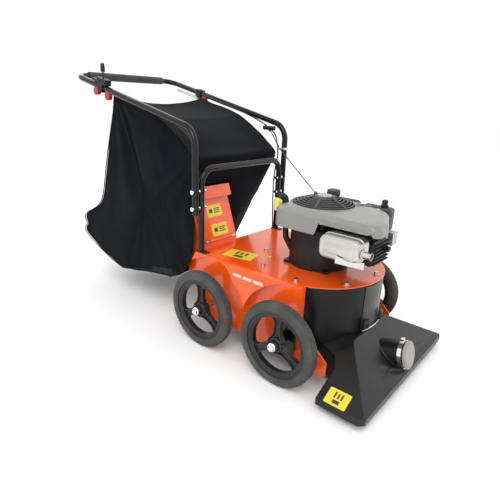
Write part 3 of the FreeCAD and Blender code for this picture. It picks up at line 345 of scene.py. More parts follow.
def skin(name, rings, closed=True, caps=True):
    """A surface through rings of points, all with the same count."""
    count = len(rings[0])
    verts = [v for ring in rings for v in ring]
    faces = []
    for k in range(len(rings) - 1):
        for i in range(count if closed else count - 1):
            a, b = k * count + i, k * count + (i + 1) % count
            faces.append((a, b, b + count, a + count))
    if caps:
        faces.append(tuple(range(count))[::-1])
        faces.append(tuple(range((len(rings) - 1) * count, len(rings) * count)))
    return mesh_object(name, verts, faces)


def rounded_rectangle(x0, x1, y0, y1, radius, steps=6):
    """Corner points of a rounded rectangle, anticlockwise from the lower right."""
    points = []
    for cx, cy, start in (
        (x1 - radius, y0 + radius, -90),
        (x1 - radius, y1 - radius, 0),
        (x0 + radius, y1 - radius, 90),
        (x0 + radius, y0 + radius, 180),
    ):
        for k in range(steps + 1):
            angle = math.radians(start + 90 * k / steps)
            points.append((cx + radius * math.cos(angle), cy + radius * math.sin(angle)))
    return points


def join(name, objects):
    """Several meshes made one."""
    bm = bmesh.new()
    for obj in objects:
        bm.from_mesh(obj.data)
        bpy.data.objects.remove(obj)
    data = bpy.data.meshes.new(name)
    bm.to_mesh(data)
    bm.free()
    obj = bpy.data.objects.new(name, data)
    bpy.context.collection.objects.link(obj)
    return obj


def soften_cad(*names, width=0.0015):
    """Rounds the sharp edges of CAD nodes that are shown as they are."""
    for name in names:
        node = NODES[name]
        weld = node.modifiers.new("weld", "WELD")
        weld.merge_threshold = 1e-5
        bevel = node.modifiers.new("edges", "BEVEL")
        bevel.width = width
        bevel.segments = 2
        bevel.limit_method = "ANGLE"
        bevel.angle_limit = math.radians(40)
        bevel.use_clamp_overlap = True
        for poly in node.data.polygons:
            poly.use_smooth = True
        normals = node.modifiers.new("normals", "WEIGHTED_NORMAL")
        normals.keep_sharp = False


# ---- camera ------------------------------------------------------------------------------------------


def camera():
    yaw, pitch, roll = 0.8795, 0.3386, 0.0416
    right = Vector((math.cos(yaw), -math.sin(yaw), 0))
    ahead = Vector((math.sin(yaw) * math.cos(pitch), math.cos(yaw) * math.cos(pitch), -math.sin(pitch)))
    up = right.cross(ahead)
    across = math.cos(roll) * right + math.sin(roll) * up
    upward = math.cos(roll) * up - math.sin(roll) * right
    lens = bpy.data.cameras.new("camera")
    lens.lens = 30.9
    lens.sensor_width = 36
    cam = bpy.data.objects.new("camera", lens)
    turn = Matrix((across, upward, -ahead)).transposed().to_4x4()
    cam.matrix_world = Matrix.Translation((-1.3544, FRONT - 0.7203, 0.9242)) @ turn
    bpy.context.collection.objects.link(cam)
    bpy.context.scene.camera = cam


camera()
bpy.context.scene.view_settings.view_transform = "Standard"

# ---- cords -------------------------------------------------------------------------------------------


def spline_points(points, resolution=24):
    """The points along a smooth curve with these control points."""
    data = bpy.data.curves.new("route", "CURVE")
    data.dimensions = "3D"
    data.resolution_u = resolution
    spline = data.splines.new("NURBS")
    spline.points.add(len(points) - 1)
    for point, place in zip(spline.points, points):
        point.co = (*place, 1)
    spline.order_u = 3
    spline.use_endpoint_u = True
    obj = bpy.data.objects.new("route", data)
    bpy.context.collection.objects.link(obj)
    bpy.context.view_layer.update()
    line = bpy.data.meshes.new_from_object(obj.evaluated_get(bpy.context.evaluated_depsgraph_get()))
    found = [v.co.copy() for v in line.vertices]
    bpy.data.objects.remove(obj)
    return found


def tube_along(name, path, radius, sides=12, shape=None, closed=False):
    """A tube of a few sides round a line of points. shape(along, angle) adds to its radius."""
    count = len(path)
    rings = []
    across = None
    along = 0.0
    for k in range(count):
        before = path[k - 1] if k or closed else path[0]
        after = path[(k + 1) % count] if k < count - 1 or closed else path[-1]
        heading = (after - before).normalized()
        if across is None:
            across = heading.orthogonal().normalized()
        across = (across - heading * across.dot(heading)).normalized()
        other = heading.cross(across)
        along += (path[k] - path[max(k - 1, 0)]).length
        ring = []
        for i in range(sides):
            angle = 2 * math.pi * i / sides
            r = radius + (shape(along, angle) if shape else 0.0)
            ring.append(path[k] + across * (r * math.cos(angle)) + other * (r * math.sin(angle)))
        rings.append(ring)
    if closed:
        rings.append(rings[0])
    return skin(name, rings, True, not closed)


def length_of(path):
    return sum((b - a).length for a, b in zip(path, path[1:]))


ROPE_EXIT = Vector((0.005, CRANK + 0.042, DECK + 0.259))
ROPE_GUIDE = Vector((0.2505, HANDLE + 0.008, 0.716))
ROPE_REST = Vector((0.2385, FRONT + 0.505, 0.790))


def cords():
    first = (ROPE_GUIDE - ROPE_EXIT).normalized()
    last = (ROPE_REST - ROPE_GUIDE).normalized()
    route = [ROPE_EXIT, ROPE_GUIDE - first * 0.022, ROPE_GUIDE, ROPE_GUIDE + last * 0.022, ROPE_REST]
    path = spline_points(route)

    def braid(along, angle):
        return 0.00022 * math.sin(4 * angle + along * 900)

    rope = tube_along("starter_rope_line", path, 0.0019, 12, braid)
    finish_piece(rope, ROPE, None, ["starter_rope"], smooth=60)
    length_of(path)
    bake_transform(rope)

    cables = (("throttle_cable", -1, 0.985, 0.93656), ("drive_cable", 1, 0.978, 0.93493))
    for name, side, start, height in cables:
        route = [
            (side * 0.257, FRONT + start, height),
            (side * 0.257, HANDLE + 0.060, 0.83197),
            (side * 0.258, HANDLE + 0.0156, 0.700),
            (side * 0.2264, HANDLE + 0.0156, 0.610),
            (side * 0.2264, HANDLE + 0.012, 0.440),
            (side * 0.2264, HANDLE + 0.005, DECK + 0.0006),
        ]
        path = spline_points([Vector(p) for p in route])
        line = tube_along(f"{name}_line", path, 0.0029, 12)
        finish_piece(line, CABLE, "chassis", [name], smooth=60)
        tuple(route[0])
        length_of(path)


cords()

# ---- wheels ------------------------------------------------------------------------------------------

RIM_SEAT = 0.118
WHEELS = (
    ("front_right", -1, FRONT),
    ("front_left", 1, FRONT),
    ("rear_right", -1, REAR),
    ("rear_left", 1, REAR),
)


def tyre(name, place):
    half = []
    for x, r in (
        (0.0165, RIM_SEAT),
        (0.0185, 0.1205),
        (0.0180, 0.1225),
        (0.0200, 0.1260),
        (0.0209, 0.1320),
        (0.0206, 0.1385),
        (0.0190, 0.1440),
        (0.0165, 0.1482),
        (0.0135, 0.1505),
        (0.0128, 0.1490),
        (0.0112, 0.1490),
        (0.0105, 0.1514),
        (0.0055, 0.1519),
        (0.0048, 0.1503),
        (0.0034, 0.1503),
        (0.0028, 0.1520),
    ):
        half.append((x, r))
    profile = [(-x, r) for x, r in half] + [(x, r) for x, r in reversed(half)]
    profile.append(profile[0])
    count = len(profile)
    blocks = set(range(6, 9)) | set(range(count - 10, count - 7))

    def tread(i, j):
        return -0.0016 if i in blocks and j % 3 == 0 else 0.0

    obj = lathe(f"wheel_{name}_tyre", profile, place, 180, tread)
    finish_piece(obj, TYRE, f"wheel_{name}", [f"tyre_{name}"], smooth=45)


def spoke(place, angle):
    """A U-section arm that flares into the hub and the rim."""
    rings = []
    inner, outer, steps = 0.018, 0.103, 16
    for k in range(steps + 1):
        r = inner + (outer - inner) * k / steps
        wide = 0.0125 + 0.016 * math.exp(-(r - inner) / 0.013) + 0.022 * math.exp(-(outer - r) / 0.0075)
        deep = 0.0105 - 0.002 * math.sin(math.pi * k / steps)
        lip = 0.0038
        section = [
            (-wide, -deep),
            (wide, -deep),
            (wide, deep),
            (wide - lip, deep),
            (wide - lip - 0.0015, 0.001),
            (lip + 0.0015 - wide, 0.001),
            (lip - wide, deep),
            (-wide, deep),
        ]
        ring = []
        for across, depth in section:
            y = r * math.cos(angle) - across * math.sin(angle)
            z = r * math.sin(angle) + across * math.cos(angle)
            ring.append(place(depth, y, z))
        rings.append(ring)
    return skin("spoke", rings)


def rim(name, place):
    ring = [
        (-0.0185, 0.1175),
        (-0.0190, 0.1205),
        (-0.0170, 0.1215),
        (-0.0150, 0.1195),
        (-0.0150, 0.1085),
        (-0.0110, 0.1035),
        (-0.0105, 0.0995),
        (0.0105, 0.0995),
        (0.0110, 0.1035),
        (0.0150, 0.1085),
        (0.0150, 0.1195),
        (0.0170, 0.1215),
        (0.0190, 0.1205),
        (0.0185, 0.1175),
        (-0.0185, 0.1175),
    ]
    hub = [
        (-0.028, 0.0085),
        (-0.028, 0.0165),
        (-0.026, 0.0185),
        (-0.012, 0.0205),
        (-0.009, 0.026),
        (0.009, 0.026),
        (0.012, 0.0205),
        (0.024, 0.0185),
        (0.026, 0.0180),
        (0.028, 0.0160),
        (0.028, 0.0085),
        (-0.028, 0.0085),
    ]
    pieces = [lathe("ring", ring, place, 120), lathe("hub", hub, place, 48)]
    pieces += [spoke(place, math.pi / 2 + 2 * math.pi * k / 3) for k in range(3)]
    obj = join(f"wheel_{name}_rim", pieces)
    finish_piece(obj, RIM, f"wheel_{name}", [f"rim_{name}"], bevel=0.0009, smooth=40)


def wheels():
    for name, side, y in WHEELS:
        low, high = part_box(f"tyre_{name}")
        middle = (low.x + high.x) / 2

        def place(along, across, up, middle=middle, side=side, y=y):
            return Vector((middle + side * along, y + across, AXLE_Z + up))

        tyre(name, place)
        rim(name, place)


wheels()

# ---- bag ---------------------------------------------------------------------------------------------

BAG_SIDE = [  # the bag's outline from the side: distance behind the front axle, height
    (0.476, 0.706), (0.560, 0.772), (0.640, 0.822), (0.705, 0.856), (0.800, 0.880), (0.900, 0.903),
    (0.976, 0.927), (0.998, 0.855), (1.035, 0.765), (1.068, 0.679), (1.100, 0.585), (1.130, 0.485),
    (1.156, 0.435), (1.190, 0.402), (1.240, 0.376), (1.300, 0.350), (1.326, 0.322), (1.318, 0.300),
    (1.296, 0.289), (1.322, 0.276), (1.337, 0.257), (1.326, 0.236), (1.299, 0.217), (1.250, 0.193),
    (1.174, 0.165), (1.100, 0.140), (1.003, 0.116), (0.900, 0.130), (0.764, 0.156), (0.680, 0.168),
    (0.624, 0.180), (0.570, 0.202), (0.527, 0.228), (0.507, 0.264), (0.490, 0.302), (0.478, 0.370),
    (0.473, 0.430), (0.472, 0.500), (0.473, 0.560), (0.475, 0.640),
]
BAG_HALF = 0.257
BAG_MIDDLE = (0.800, 0.480)
CHUTE_RIGHT, CHUTE_LEFT = -0.232, -0.006


def bag_outline(step=0.017):
    """The side outline as evenly spaced points, its corners a little rounded."""
    loop = [Vector(p) for p in BAG_SIDE]
    points = []
    for a, b in zip(loop, loop[1:] + loop[:1]):
        parts = max(1, round((b - a).length / step))
        points += [a.lerp(b, k / parts) for k in range(parts)]
    count = len(points)
    return [points[i] * 0.6 + (points[i - 1] + points[(i + 1) % count]) * 0.2 for i in range(count)]


def ease(value, low, high):
    t = min(1.0, max(0.0, (value - low) / (high - low)))
    return t * t * (3 - 2 * t)


def bag_point(x, y, z):
    """Where the sewn shape has a point of the side outline, at x across the bag."""
    share = 1 - (x / BAG_HALF) ** 2
    if z > 0.68:
        roof = ease(z, 0.68, 0.72) * share
        z -= roof * (0.004 + 0.026 * ease(y, 0.474, 0.98))
    lean = 0.476 + 0.314 * max(0.0, 0.708 - z)
    y = max(y, y + (lean - y) * ease(x, -0.252, -0.232)) if y < 0.66 else y
    corner = Vector((0.236, 0.476, 0.690))
    facet = Vector((-0.01635, 0.0467, 0.02372))
    depth = facet.dot(Vector((x, y, z)) - corner)
    if depth < 0:
        y -= depth / facet.y
    return Vector((x, FRONT + y, z))


def bag_shell():
    """The sewn bag as one closed surface, its two side panels included."""
    outline = bag_outline()
    middle = Vector(BAG_MIDDLE)
    stations = [(-BAG_HALF, 0.010), (-0.2545, 0.0045), (-0.2470, 0.001)]
    stations += [(-0.235 + 0.47 * k / 26, 0.0) for k in range(27)]
    stations += [(0.2470, 0.001), (0.2545, 0.0045), (BAG_HALF, 0.010)]
    shrink = [0.08, 0.22, 0.36, 0.50, 0.62, 0.73, 0.82, 0.89, 0.95]
    rings = []
    for x, share in [(-BAG_HALF, s) for s in shrink]:
        rings.append([bag_point(x, *(middle + (p - middle) * share)) for p in outline])
    for x, inset in stations:
        rings.append([bag_point(x, *(p + (middle - p).normalized() * inset)) for p in outline])
    for x, share in [(BAG_HALF, s) for s in reversed(shrink)]:
        rings.append([bag_point(x, *(middle + (p - middle) * share)) for p in outline])
    return skin("bag_shell", rings), len(outline), len(shrink)


def bag_drape(obj):
    """Lets the cloth hang from the handle and the chute, and keeps it near the sewn shape."""
    sewn = [v.co.copy() for v in obj.data.vertices]
    pins = obj.vertex_groups.new(name="pins")
    for vertex in obj.data.vertices:
        x, y, z = vertex.co.x, vertex.co.y - FRONT, vertex.co.z
        top_edge = abs(x) > 0.235 and z > 0.70 and z > 0.695 + 0.42 * (y - 0.476)
        front_edge = y < 0.50 and (z > 0.68 or x < -0.22)
        chute = CHUTE_RIGHT - 0.02 < x < CHUTE_LEFT + 0.02 and y < 0.66 and z < 0.61
        weight = 1.0 if top_edge or front_edge or chute else 0.12 if z < 0.30 else 0.0
        if weight:
            pins.add([vertex.index], weight, "REPLACE")
    cloth = obj.modifiers.new("cloth", "CLOTH")
    settings = cloth.settings
    settings.quality = 6
    settings.mass = 0.25
    settings.tension_stiffness = 18
    settings.compression_stiffness = 18
    settings.shear_stiffness = 6
    settings.bending_stiffness = 0.6
    settings.use_pressure = True
    settings.uniform_pressure_force = 0.35
    settings.vertex_group_mass = "pins"
    cloth.collision_settings.use_self_collision = False
    cloth.point_cache.frame_start = 1
    cloth.point_cache.frame_end = 24
    scene = bpy.context.scene
    for frame_number in range(1, 25):
        scene.frame_set(frame_number)
    shape = obj.evaluated_get(bpy.context.evaluated_depsgraph_get()).to_mesh()
    hung = [v.co.copy() for v in shape.vertices]
    obj.modifiers.remove(cloth)
    for vertex, start, end in zip(obj.data.vertices, sewn, hung):
        move = end - start
        limit = 0.013
        vertex.co = start + move * (limit / (limit + move.length))
    obj.vertex_groups.clear()
    scene.frame_set(1)


def bag_folds(obj):
    """Soft folds: long ones down the sides, radiating ones below the corners that it hangs from."""
    from mathutils import noise

    normals = [v.normal.copy() for v in obj.data.vertices]
    hooks = [Vector((-0.257, FRONT + 0.978, 0.925)), Vector((0.257, FRONT + 0.968, 0.925))]
    hooks += [Vector((-0.250, FRONT + 0.478, 0.700)), Vector((0.236, FRONT + 0.478, 0.700))]
    for vertex, normal in zip(obj.data.vertices, normals):
        p = vertex.co
        side = abs(normal.x)
        move = 0.0034 * side * noise.noise(Vector((p.x * 3, p.y * 9.0, p.z * 2.4)))
        move += 0.0030 * noise.noise(p * 6.5) + 0.0012 * noise.noise(p * 19.0)
        for hook in hooks:
            offset = p - hook
            distance = math.hypot(offset.y, offset.z)
            if side > 0.5:
                angle = math.atan2(offset.z, offset.y)
                fade = ease(distance, 0.02, 0.10) * math.exp(-distance / 0.22)
                move += 0.0038 * side * math.sin(angle * 17) * fade
        vertex.co = p + normal * (move - 0.0012)


def chute_sides():
    """The chute from the side, a little larger than it is, as (behind the front axle, height) points."""
    back = 0.467
    front = [(back + 0.04, 0.150), (back - 0.060, 0.150), (back - 0.060, DECK - 0.012), (back + 0.032, 0.594)]
    rear = [(0.655, 0.594), (0.655, 0.500), (0.598, 0.325), (0.523, 0.172)]
    return front[1:] + rear + front[:1]


def bag_mouth(obj):
    """Cuts the hole that the chute comes in by."""
    outline = [Vector((0, FRONT + y, z)) for y, z in chute_sides()]
    bm = bmesh.new()
    bm.from_mesh(obj.data)
    sideways = Vector((1, 0, 0))
    planes = [(Vector((x, 0, 0)), sideways) for x in (CHUTE_RIGHT, CHUTE_LEFT)]
    for a, b in zip(outline, outline[1:] + outline[:1]):
        planes.append((a, (b - a).cross(sideways).normalized()))
    for point, normal in planes:
        middles = [(f, f.calc_center_median()) for f in bm.faces]
        near = [f for f, c in middles if c.y < FRONT + 0.72 and c.x < 0.06]
        edges = {e for f in near for e in f.edges}
        corners = {v for f in near for v in f.verts}
        bmesh.ops.bisect_plane(bm, geom=[*near, *edges, *corners], plane_co=point, plane_no=normal, dist=1e-5)
    gone = []
    for face in bm.faces:
        c = face.calc_center_median()
        if not CHUTE_RIGHT < c.x < CHUTE_LEFT:
            continue
        turn = 0.0
        for a, b in zip(outline, outline[1:] + outline[:1]):
            u, v = (a.y - c.y, a.z - c.z), (b.y - c.y, b.z - c.z)
            turn += math.atan2(u[0] * v[1] - u[1] * v[0], u[0] * v[0] + u[1] * v[1])
        if abs(turn) > 3:
            gone.append(face)
    bmesh.ops.delete(bm, geom=gone, context="FACES")
    bm.to_mesh(obj.data)
    bm.free()


def patch_top(y):
    """The upper edge of the heavier cloth along the bottom of the right side."""
    return 0.215 - 0.085 * ease(y, 0.6, 1.0) + 0.10 * ease(y, 1.05, 1.3)


def bag():
    obj, count, caps = bag_shell()
    bag_drape(obj)
    seams = []
    for station in (caps, len(obj.data.vertices) // count - caps - 1):
        loop = [obj.data.vertices[station * count + i].co.copy() for i in range(count)]
        inner = obj.data.vertices[(station + (1 if station < 20 else -1)) * count].co.x
        for p in loop:
            p.x += 0.5 * (inner - p.x) - math.copysign(0.0006, -p.x)
        seams.append(loop)
    bag_folds(obj)
    bag_mouth(obj)
    obj.data.materials.clear()
    for material in (CLOTH, CLOTH_PAINTED_HIGHLIGHT, WEBBING):
        obj.data.materials.append(material)
    obj.data.update()
    faces = []
    for poly in obj.data.polygons:
        poly.use_smooth = True
        c = poly.center
        y = c.y - FRONT
        # Upward-facing faces near the top get the lighter cloth: a painted highlight where the top faces the
        # light.
        if poly.normal.z > 0.5 and c.z > 0.66 and y < 0.99:
            faces.append((poly, 1))
        elif poly.normal.x < -0.8 and c.z < patch_top(y) and y < 1.1:
            faces.append((poly, 2))
    for poly, index in faces:
        poly.material_index = index
    thick = obj.modifiers.new("thickness", "SOLIDIFY")
    thick.thickness = 0.0014
    thick.offset = -1
    smooth = obj.modifiers.new("smooth", "SUBSURF")
    smooth.levels = smooth.render_levels = 1
    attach(obj, "chassis")
    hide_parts("bag")
    for k, loop in enumerate(seams):
        keep = [p for p in loop if k == 0 or p.z > 0.5 or p.y > FRONT + 0.8]
        piping = tube_along(f"bag_piping_{k}", keep, 0.0022, 8, closed=k == 0)
        # The piping uses the lighter cloth too: a painted highlight along the seams.
        finish_piece(piping, CLOTH_PAINTED_HIGHLIGHT, "chassis", (), smooth=60)


# ---- engine ------------------------------------------------------------------------------------------


def star(outline, centre, count):
    """The outline's points at even angles about the centre."""
    found = []
    pairs = list(zip(outline, outline[1:] + outline[:1]))
    for k in range(count):
        angle = 2 * math.pi * k / count
        ray = Vector((math.cos(angle), math.sin(angle)))
        best = 0.0
        for a, b in pairs:
            a, b = Vector(a) - centre, Vector(b) - centre
            edge = b - a
            cross = ray.x * edge.y - ray.y * edge.x
            if abs(cross) < 1e-12:
                continue
            distance = (a.x * edge.y - a.y * edge.x) / cross
            share = (a.x * ray.y - a.y * ray.x) / cross
            if distance > best and -1e-9 <= share <= 1 + 1e-9:
                best = distance
        found.append(centre + ray * best)
    return found


def rounded_outline(corners, steps=8):
    """A polygon, its corners rounded: (x, y, radius) points in order."""
    points = []
    count = len(corners)
    for k, (x, y, radius) in enumerate(corners):
        here = Vector((x, y))
        before = (Vector(corners[k - 1][:2]) - here).normalized()
        after = (Vector(corners[(k + 1) % count][:2]) - here).normalized()
        half = math.acos(max(-1, min(1, before.dot(after)))) / 2
        reach = radius / math.tan(half)
        centre = here + (before + after).normalized() * (radius / math.sin(half))
        start, end = here + before * reach - centre, here + after * reach - centre
        a0 = math.atan2(start.y, start.x)
        a1 = math.atan2(end.y, end.x)
        turn = (a1 - a0 + math.pi) % (2 * math.pi) - math.pi
        for i in range(steps + 1):
            a = a0 + turn * i / steps
            points.append(tuple(centre + Vector((math.cos(a), math.sin(a))) * radius))
    return points


def engine_cover():
    """The shroud: bevelled round its top, cut out over the muffler, with a well for the starter's grille."""
    top = DECK + 0.230
    corners = [
        (-0.160, FRONT + 0.172, 0.036),
        (-0.160, FRONT - 0.232, 0.030),
        (-0.092, FRONT - 0.232, 0.020),
        (0.062, FRONT - 0.166, 0.050),
        (0.125, FRONT - 0.092, 0.045),
        (0.125, FRONT + 0.172, 0.045),
    ]
    centre = Vector((0.0, CRANK))
    edge = star(rounded_outline(corners), centre, 288)

    gap = Vector((-0.075, CRANK + 0.114)) - centre
    for k, p in enumerate(edge):
        ray = (p - centre).normalized()
        across = abs(gap.x * ray.y - gap.y * ray.x)
        if across < 0.017:
            reach = gap.dot(ray) - math.sqrt(0.017**2 - across**2)
            edge[k] = centre + ray * min((p - centre).length, max(reach, 0.119))

    def inward(p, amount):
        ray = p - centre
        return centre + ray.normalized() * max(ray.length - amount, 0.1178)

    def foot(p):
        low = DECK + 0.155
        if p.x < -0.10:
            low += 0.052 * ease(p.y, FRONT - 0.002, FRONT - 0.026)
            low -= 0.016 * ease(p.y, FRONT - 0.196, FRONT - 0.218)
        elif p.y < FRONT - 0.10:
            low += 0.028
        return low

    def crown(p, share):
        ahead = ease(CRANK - p.y, 0.10, 0.22)
        return top - 0.001 + 0.0025 * math.sin(math.pi * min(1.0, share)) - 0.003 * ahead

    rings = [
        [Vector((*inward(p, 0.0045), foot(p) + 0.001)) for p in edge],
        [Vector((*inward(p, 0.0015), foot(p))) for p in edge],
        [Vector((*p, foot(p) + 0.002)) for p in edge],
        [Vector((*p, top - 0.030)) for p in edge],
        [Vector((*inward(p, 0.0004), top - 0.0155)) for p in edge],
        [Vector((*inward(p, 0.0018), top - 0.0140)) for p in edge],
        [Vector((*inward(p, 0.0100), top - 0.0060)) for p in edge],
        [Vector((*inward(p, 0.0120), top - 0.0045)) for p in edge],
        [Vector((*inward(p, 0.0200), top - 0.0015)) for p in edge],
    ]
    well = [centre + (p - centre).normalized() * 0.1175 for p in edge]
    start = [inward(p, 0.022) for p in edge]
    for k in range(1, 6):
        share = k / 5
        ring = []
        for a, b in zip(start, well):
            p = a.lerp(b, share) if (a - centre).length > 0.1178 else a
            ring.append(Vector((*p, crown(p, share))))
        rings.append(ring)
    for radius, lift in ((0.1155, 0.0008), (0.1135, 0.0004), (0.1125, -0.003), (0.1125, -0.012)):
        rings.append([Vector((*(centre + (p - centre).normalized() * radius), top + lift)) for p in edge])
    shell = skin("engine_cover", rings, True, False)
    finish_piece(shell, SHROUD, "chassis", ["engine_shroud"], smooth=28)
    thick = shell.modifiers.new("thickness", "SOLIDIFY")
    thick.thickness = 0.0025
    thick.offset = -1


def starter_disc():
    """The flat metal disc on the middle of the starter's grille, and its rim."""
    top = DECK + 0.230 + 0.028
    profile = [(0.0005, 0.0), (0.0005, 0.022), (0.0010, 0.0232), (0.0016, 0.0240), (0.0016, 0.0262),
               (0.0008, 0.0270), (0.0, 0.0272), (0.0, 0.0)]

    def place(along, a, b):
        return Vector((a, CRANK + b, top + along))

    disc = lathe("starter_disc", profile, place, 72)
    finish_piece(disc, ALLOY, "chassis", (), smooth=30)


def exhaust():
    """The muffler: two pressed shells with a rolled seam, its outlet pipe, screws and heat guard."""
    y0, y1 = FRONT - 0.196, FRONT - 0.050
    z0, z1 = DECK + 0.103, DECK + 0.185

    def ring(x, inset, radius):
        pts = rounded_rectangle(y0 + inset, y1 - inset, z0 + inset, z1 - inset, radius)
        return [Vector((x, y, z)) for y, z in pts]

    rings = [
        ring(-0.1325, 0.016, 0.016), ring(-0.1325, 0.006, 0.020), ring(-0.1360, 0.0025, 0.022),
        ring(-0.1640, 0.0025, 0.022), ring(-0.1646, 0.0, 0.024), ring(-0.1670, -0.0004, 0.024),
        ring(-0.1694, 0.0, 0.024), ring(-0.1700, 0.0025, 0.022), ring(-0.1960, 0.0030, 0.022),
        ring(-0.2025, 0.0055, 0.020), ring(-0.2052, 0.0110, 0.018), ring(-0.2056, 0.0150, 0.015),
        ring(-0.2044, 0.0175, 0.013), ring(-0.2042, 0.0215, 0.010), ring(-0.2058, 0.0245, 0.009),
    ]
    can = skin("can", rings)
    mid_y, mid_z = FRONT - 0.204, DECK + 0.140

    def pipe_place(along, a, b):
        return Vector((-0.178 + a, mid_y - along, mid_z + b))

    pipe_profile = [(-0.024, 0.0118), (0.004, 0.0118), (0.012, 0.0112), (0.0195, 0.0112), (0.0215, 0.0120),
                    (0.0215, 0.0102), (0.018, 0.0100), (-0.024, 0.0100), (-0.024, 0.0118)]
    collar_profile = [(-0.010, 0.0118), (-0.010, 0.0165), (-0.0075, 0.0175), (-0.0055, 0.0165),
                      (-0.0045, 0.0118), (-0.010, 0.0118)]
    screw_profile = [(-0.002, 0.0), (-0.002, 0.0046), (0.0022, 0.0046), (0.0028, 0.0040), (0.0028, 0.0)]
    pipe = lathe("pipe", pipe_profile, pipe_place, 32)
    collar = lathe("collar", collar_profile, pipe_place, 32)
    screws = []
    for y, z in [(FRONT - back, DECK + up) for back in (0.176, 0.070) for up in (0.121, 0.167)]:

        def screw_place(along, a, b, y=y, z=z):
            return Vector((-0.2040 - along, y + a, z + b))

        screws.append(lathe("screw", screw_profile, screw_place, 6))
    obj = join("muffler_shell", [can, pipe, collar, *screws])
    finish_piece(obj, MUFFLER, "chassis", ["muffler"], bevel=0.0004, smooth=35)

    guard = []
    for k in range(9):
        t = k / 8
        y = FRONT - 0.120 - 0.098 * t
        z_high = DECK + 0.128 - 0.010 * math.sin(math.pi * t)
        z_low = DECK + 0.100 + 0.004 * t
        guard.append([Vector((-0.2092, y, z_low)), Vector((-0.2092, y, z_high)), Vector((-0.2078, y, z_high)),
                      Vector((-0.2078, y, z_low))])
    plate = skin("muffler_guard", guard)
    finish_piece(plate, BRIGHT, "chassis", (), bevel=0.0005)
    corners = [(-0.150, 0.112), (-0.100, 0.112), (-0.100, 0.132), (-0.150, 0.132)]
    sections = [[Vector((x, FRONT + y, DECK + z)) for y, z in corners] for x in (-0.134, -0.105, -0.078)]
    stay = skin("muffler_stay", sections)
    finish_piece(stay, ENGINE, "chassis", (), bevel=0.001)


def ribbed(name, profile, centre, count, depth, mat, body, replaces):
    """A turned cap with grip ribs round its side."""
    low = min(r for _, r in profile if r > 0)

    def place(along, a, b):
        return Vector((centre[0] + a, centre[1] + b, centre[2] + along))

    steps = count * 4
    obj = lathe(name, profile, place, steps)
    widest = max(r for _, r in profile)
    for vertex in obj.data.vertices:
        dx, dy = vertex.co.x - centre[0], vertex.co.y - centre[1]
        r = math.hypot(dx, dy)
        if r > widest * 0.93 and low:
            wave = 0.5 + 0.5 * math.cos(math.atan2(dy, dx) * count)
            scale = (r - depth * wave) / r
            vertex.co.x, vertex.co.y = centre[0] + dx * scale, centre[1] + dy * scale
    finish_piece(obj, mat, body, replaces, smooth=40)
    return obj


def caps():
    top = DECK + 0.230
    fuel = [(0.0005, 0.0168), (0.0005, 0.0255), (0.002, 0.0262), (0.019, 0.0262), (0.0225, 0.0248),
            (0.0242, 0.0215), (0.0236, 0.0180), (0.0245, 0.0150), (0.0245, 0.0), (0.0080, 0.0),
            (0.0080, 0.0168), (0.0005, 0.0168)]
    ribbed("fuel_cap_ribbed", fuel, (0.146, CRANK + 0.044, top), 24, 0.0009, CHARCOAL, "tank_cap",
           ["fuel_cap"])
    knob = [(-0.0055, 0.0), (-0.0055, 0.0140), (-0.0040, 0.0150), (0.0012, 0.0150), (0.0020, 0.0112),
            (0.0035, 0.0106), (0.016, 0.0110), (0.0190, 0.0098), (0.0202, 0.0070), (0.0202, 0.0)]
    ribbed("filter_knob_ribbed", knob, (0.142, FRONT - 0.112, top), 6, 0.0022, PLASTIC, "filter_screw",
           ["air_filter_knob"])


def dipstick():
    """A rubber elbow on the filler tube and its yellow grip."""
    knee = Vector((-0.072, CRANK + 0.108, DECK + 0.090))
    mouth = Vector((-0.076, CRANK + 0.116, DECK + 0.214))
    aim = (mouth - knee).normalized()
    out = Vector((-1, 0.62, 0)).normalized()
    bend = [(0.0006, 0), (0.008, 0), (0.018, 0), (0.026, 0.002), (0.031, 0.008), (0.031, 0.018), (0.027, 0.028)]
    path = [mouth + aim * rise + out * reach for rise, reach in bend]
    fine = spline_points(path, 8)

    def flare(along, angle):
        return 0.0022 if along < 0.006 else 0.0012 * (1 if int(along / 0.0035) % 2 else 0)

    elbow = tube_along("dipstick_elbow", fine, 0.0122, 24, flare)
    stick = tube_along("stick", [mouth - aim * 0.069, mouth + aim * 0.002], 0.0029, 12)
    both = join("dipstick_elbow_and_stick", [elbow, stick])
    finish_piece(both, PLASTIC, "oil_stick", ["dipstick"], smooth=35)
    centre = mouth + aim * 0.025 + out * 0.030
    side = out.cross(Vector((0, 0, 1)))
    rings = []
    for height, wide, deep in ((0.002, 0.0115, 0.0080), (-0.001, 0.0150, 0.0112), (-0.012, 0.0160, 0.0120),
                               (-0.024, 0.0150, 0.0110), (-0.036, 0.0158, 0.0118), (-0.0435, 0.0142, 0.0104),
                               (-0.046, 0.0105, 0.0070)):
        points = rounded_rectangle(-wide, wide, -deep, deep, deep * 0.6, 5)
        rings.append([centre + side * u + out * v + Vector((0, 0, height)) for u, v in points])
    grip = skin("dipstick_grip", rings)
    finish_piece(grip, YELLOW, "oil_stick", (), smooth=45, subdivide=1)


# ---- labels, latches, grips --------------------------------------------------------------------------


def label(name, origin, across, upward, body, bars, ground=LABEL, ink=INK):
    """A plain sticker, its corner at origin, with blocks given as shares of its width and height."""
    normal = across.cross(upward).normalized()
    pieces = []
    for u0, u1, v0, v1, lift in [(0.0, 1.0, 0.0, 1.0, 0.0004)] + [(*bar, 0.0006) for bar in bars]:
        wide, high = across.length, upward.length
        corner = 0.0008 if lift > 0.0005 else 0.004
        corners = rounded_rectangle(u0 * wide, u1 * wide, v0 * high, v1 * high, corner, 3)
        rings = []
        for height in (0.00005, lift):
            rings.append([origin + across.normalized() * u + upward.normalized() * v + normal * height
                          for u, v in corners])
        pieces.append(skin("part", rings))
    dark = len(pieces[0].data.polygons)
    obj = join(name, pieces)
    finish_piece(obj, ground, body, (), smooth=30)
    obj.data.materials.append(ink)
    for poly in obj.data.polygons:
        if poly.index >= dark:
            poly.material_index = 1
    return obj


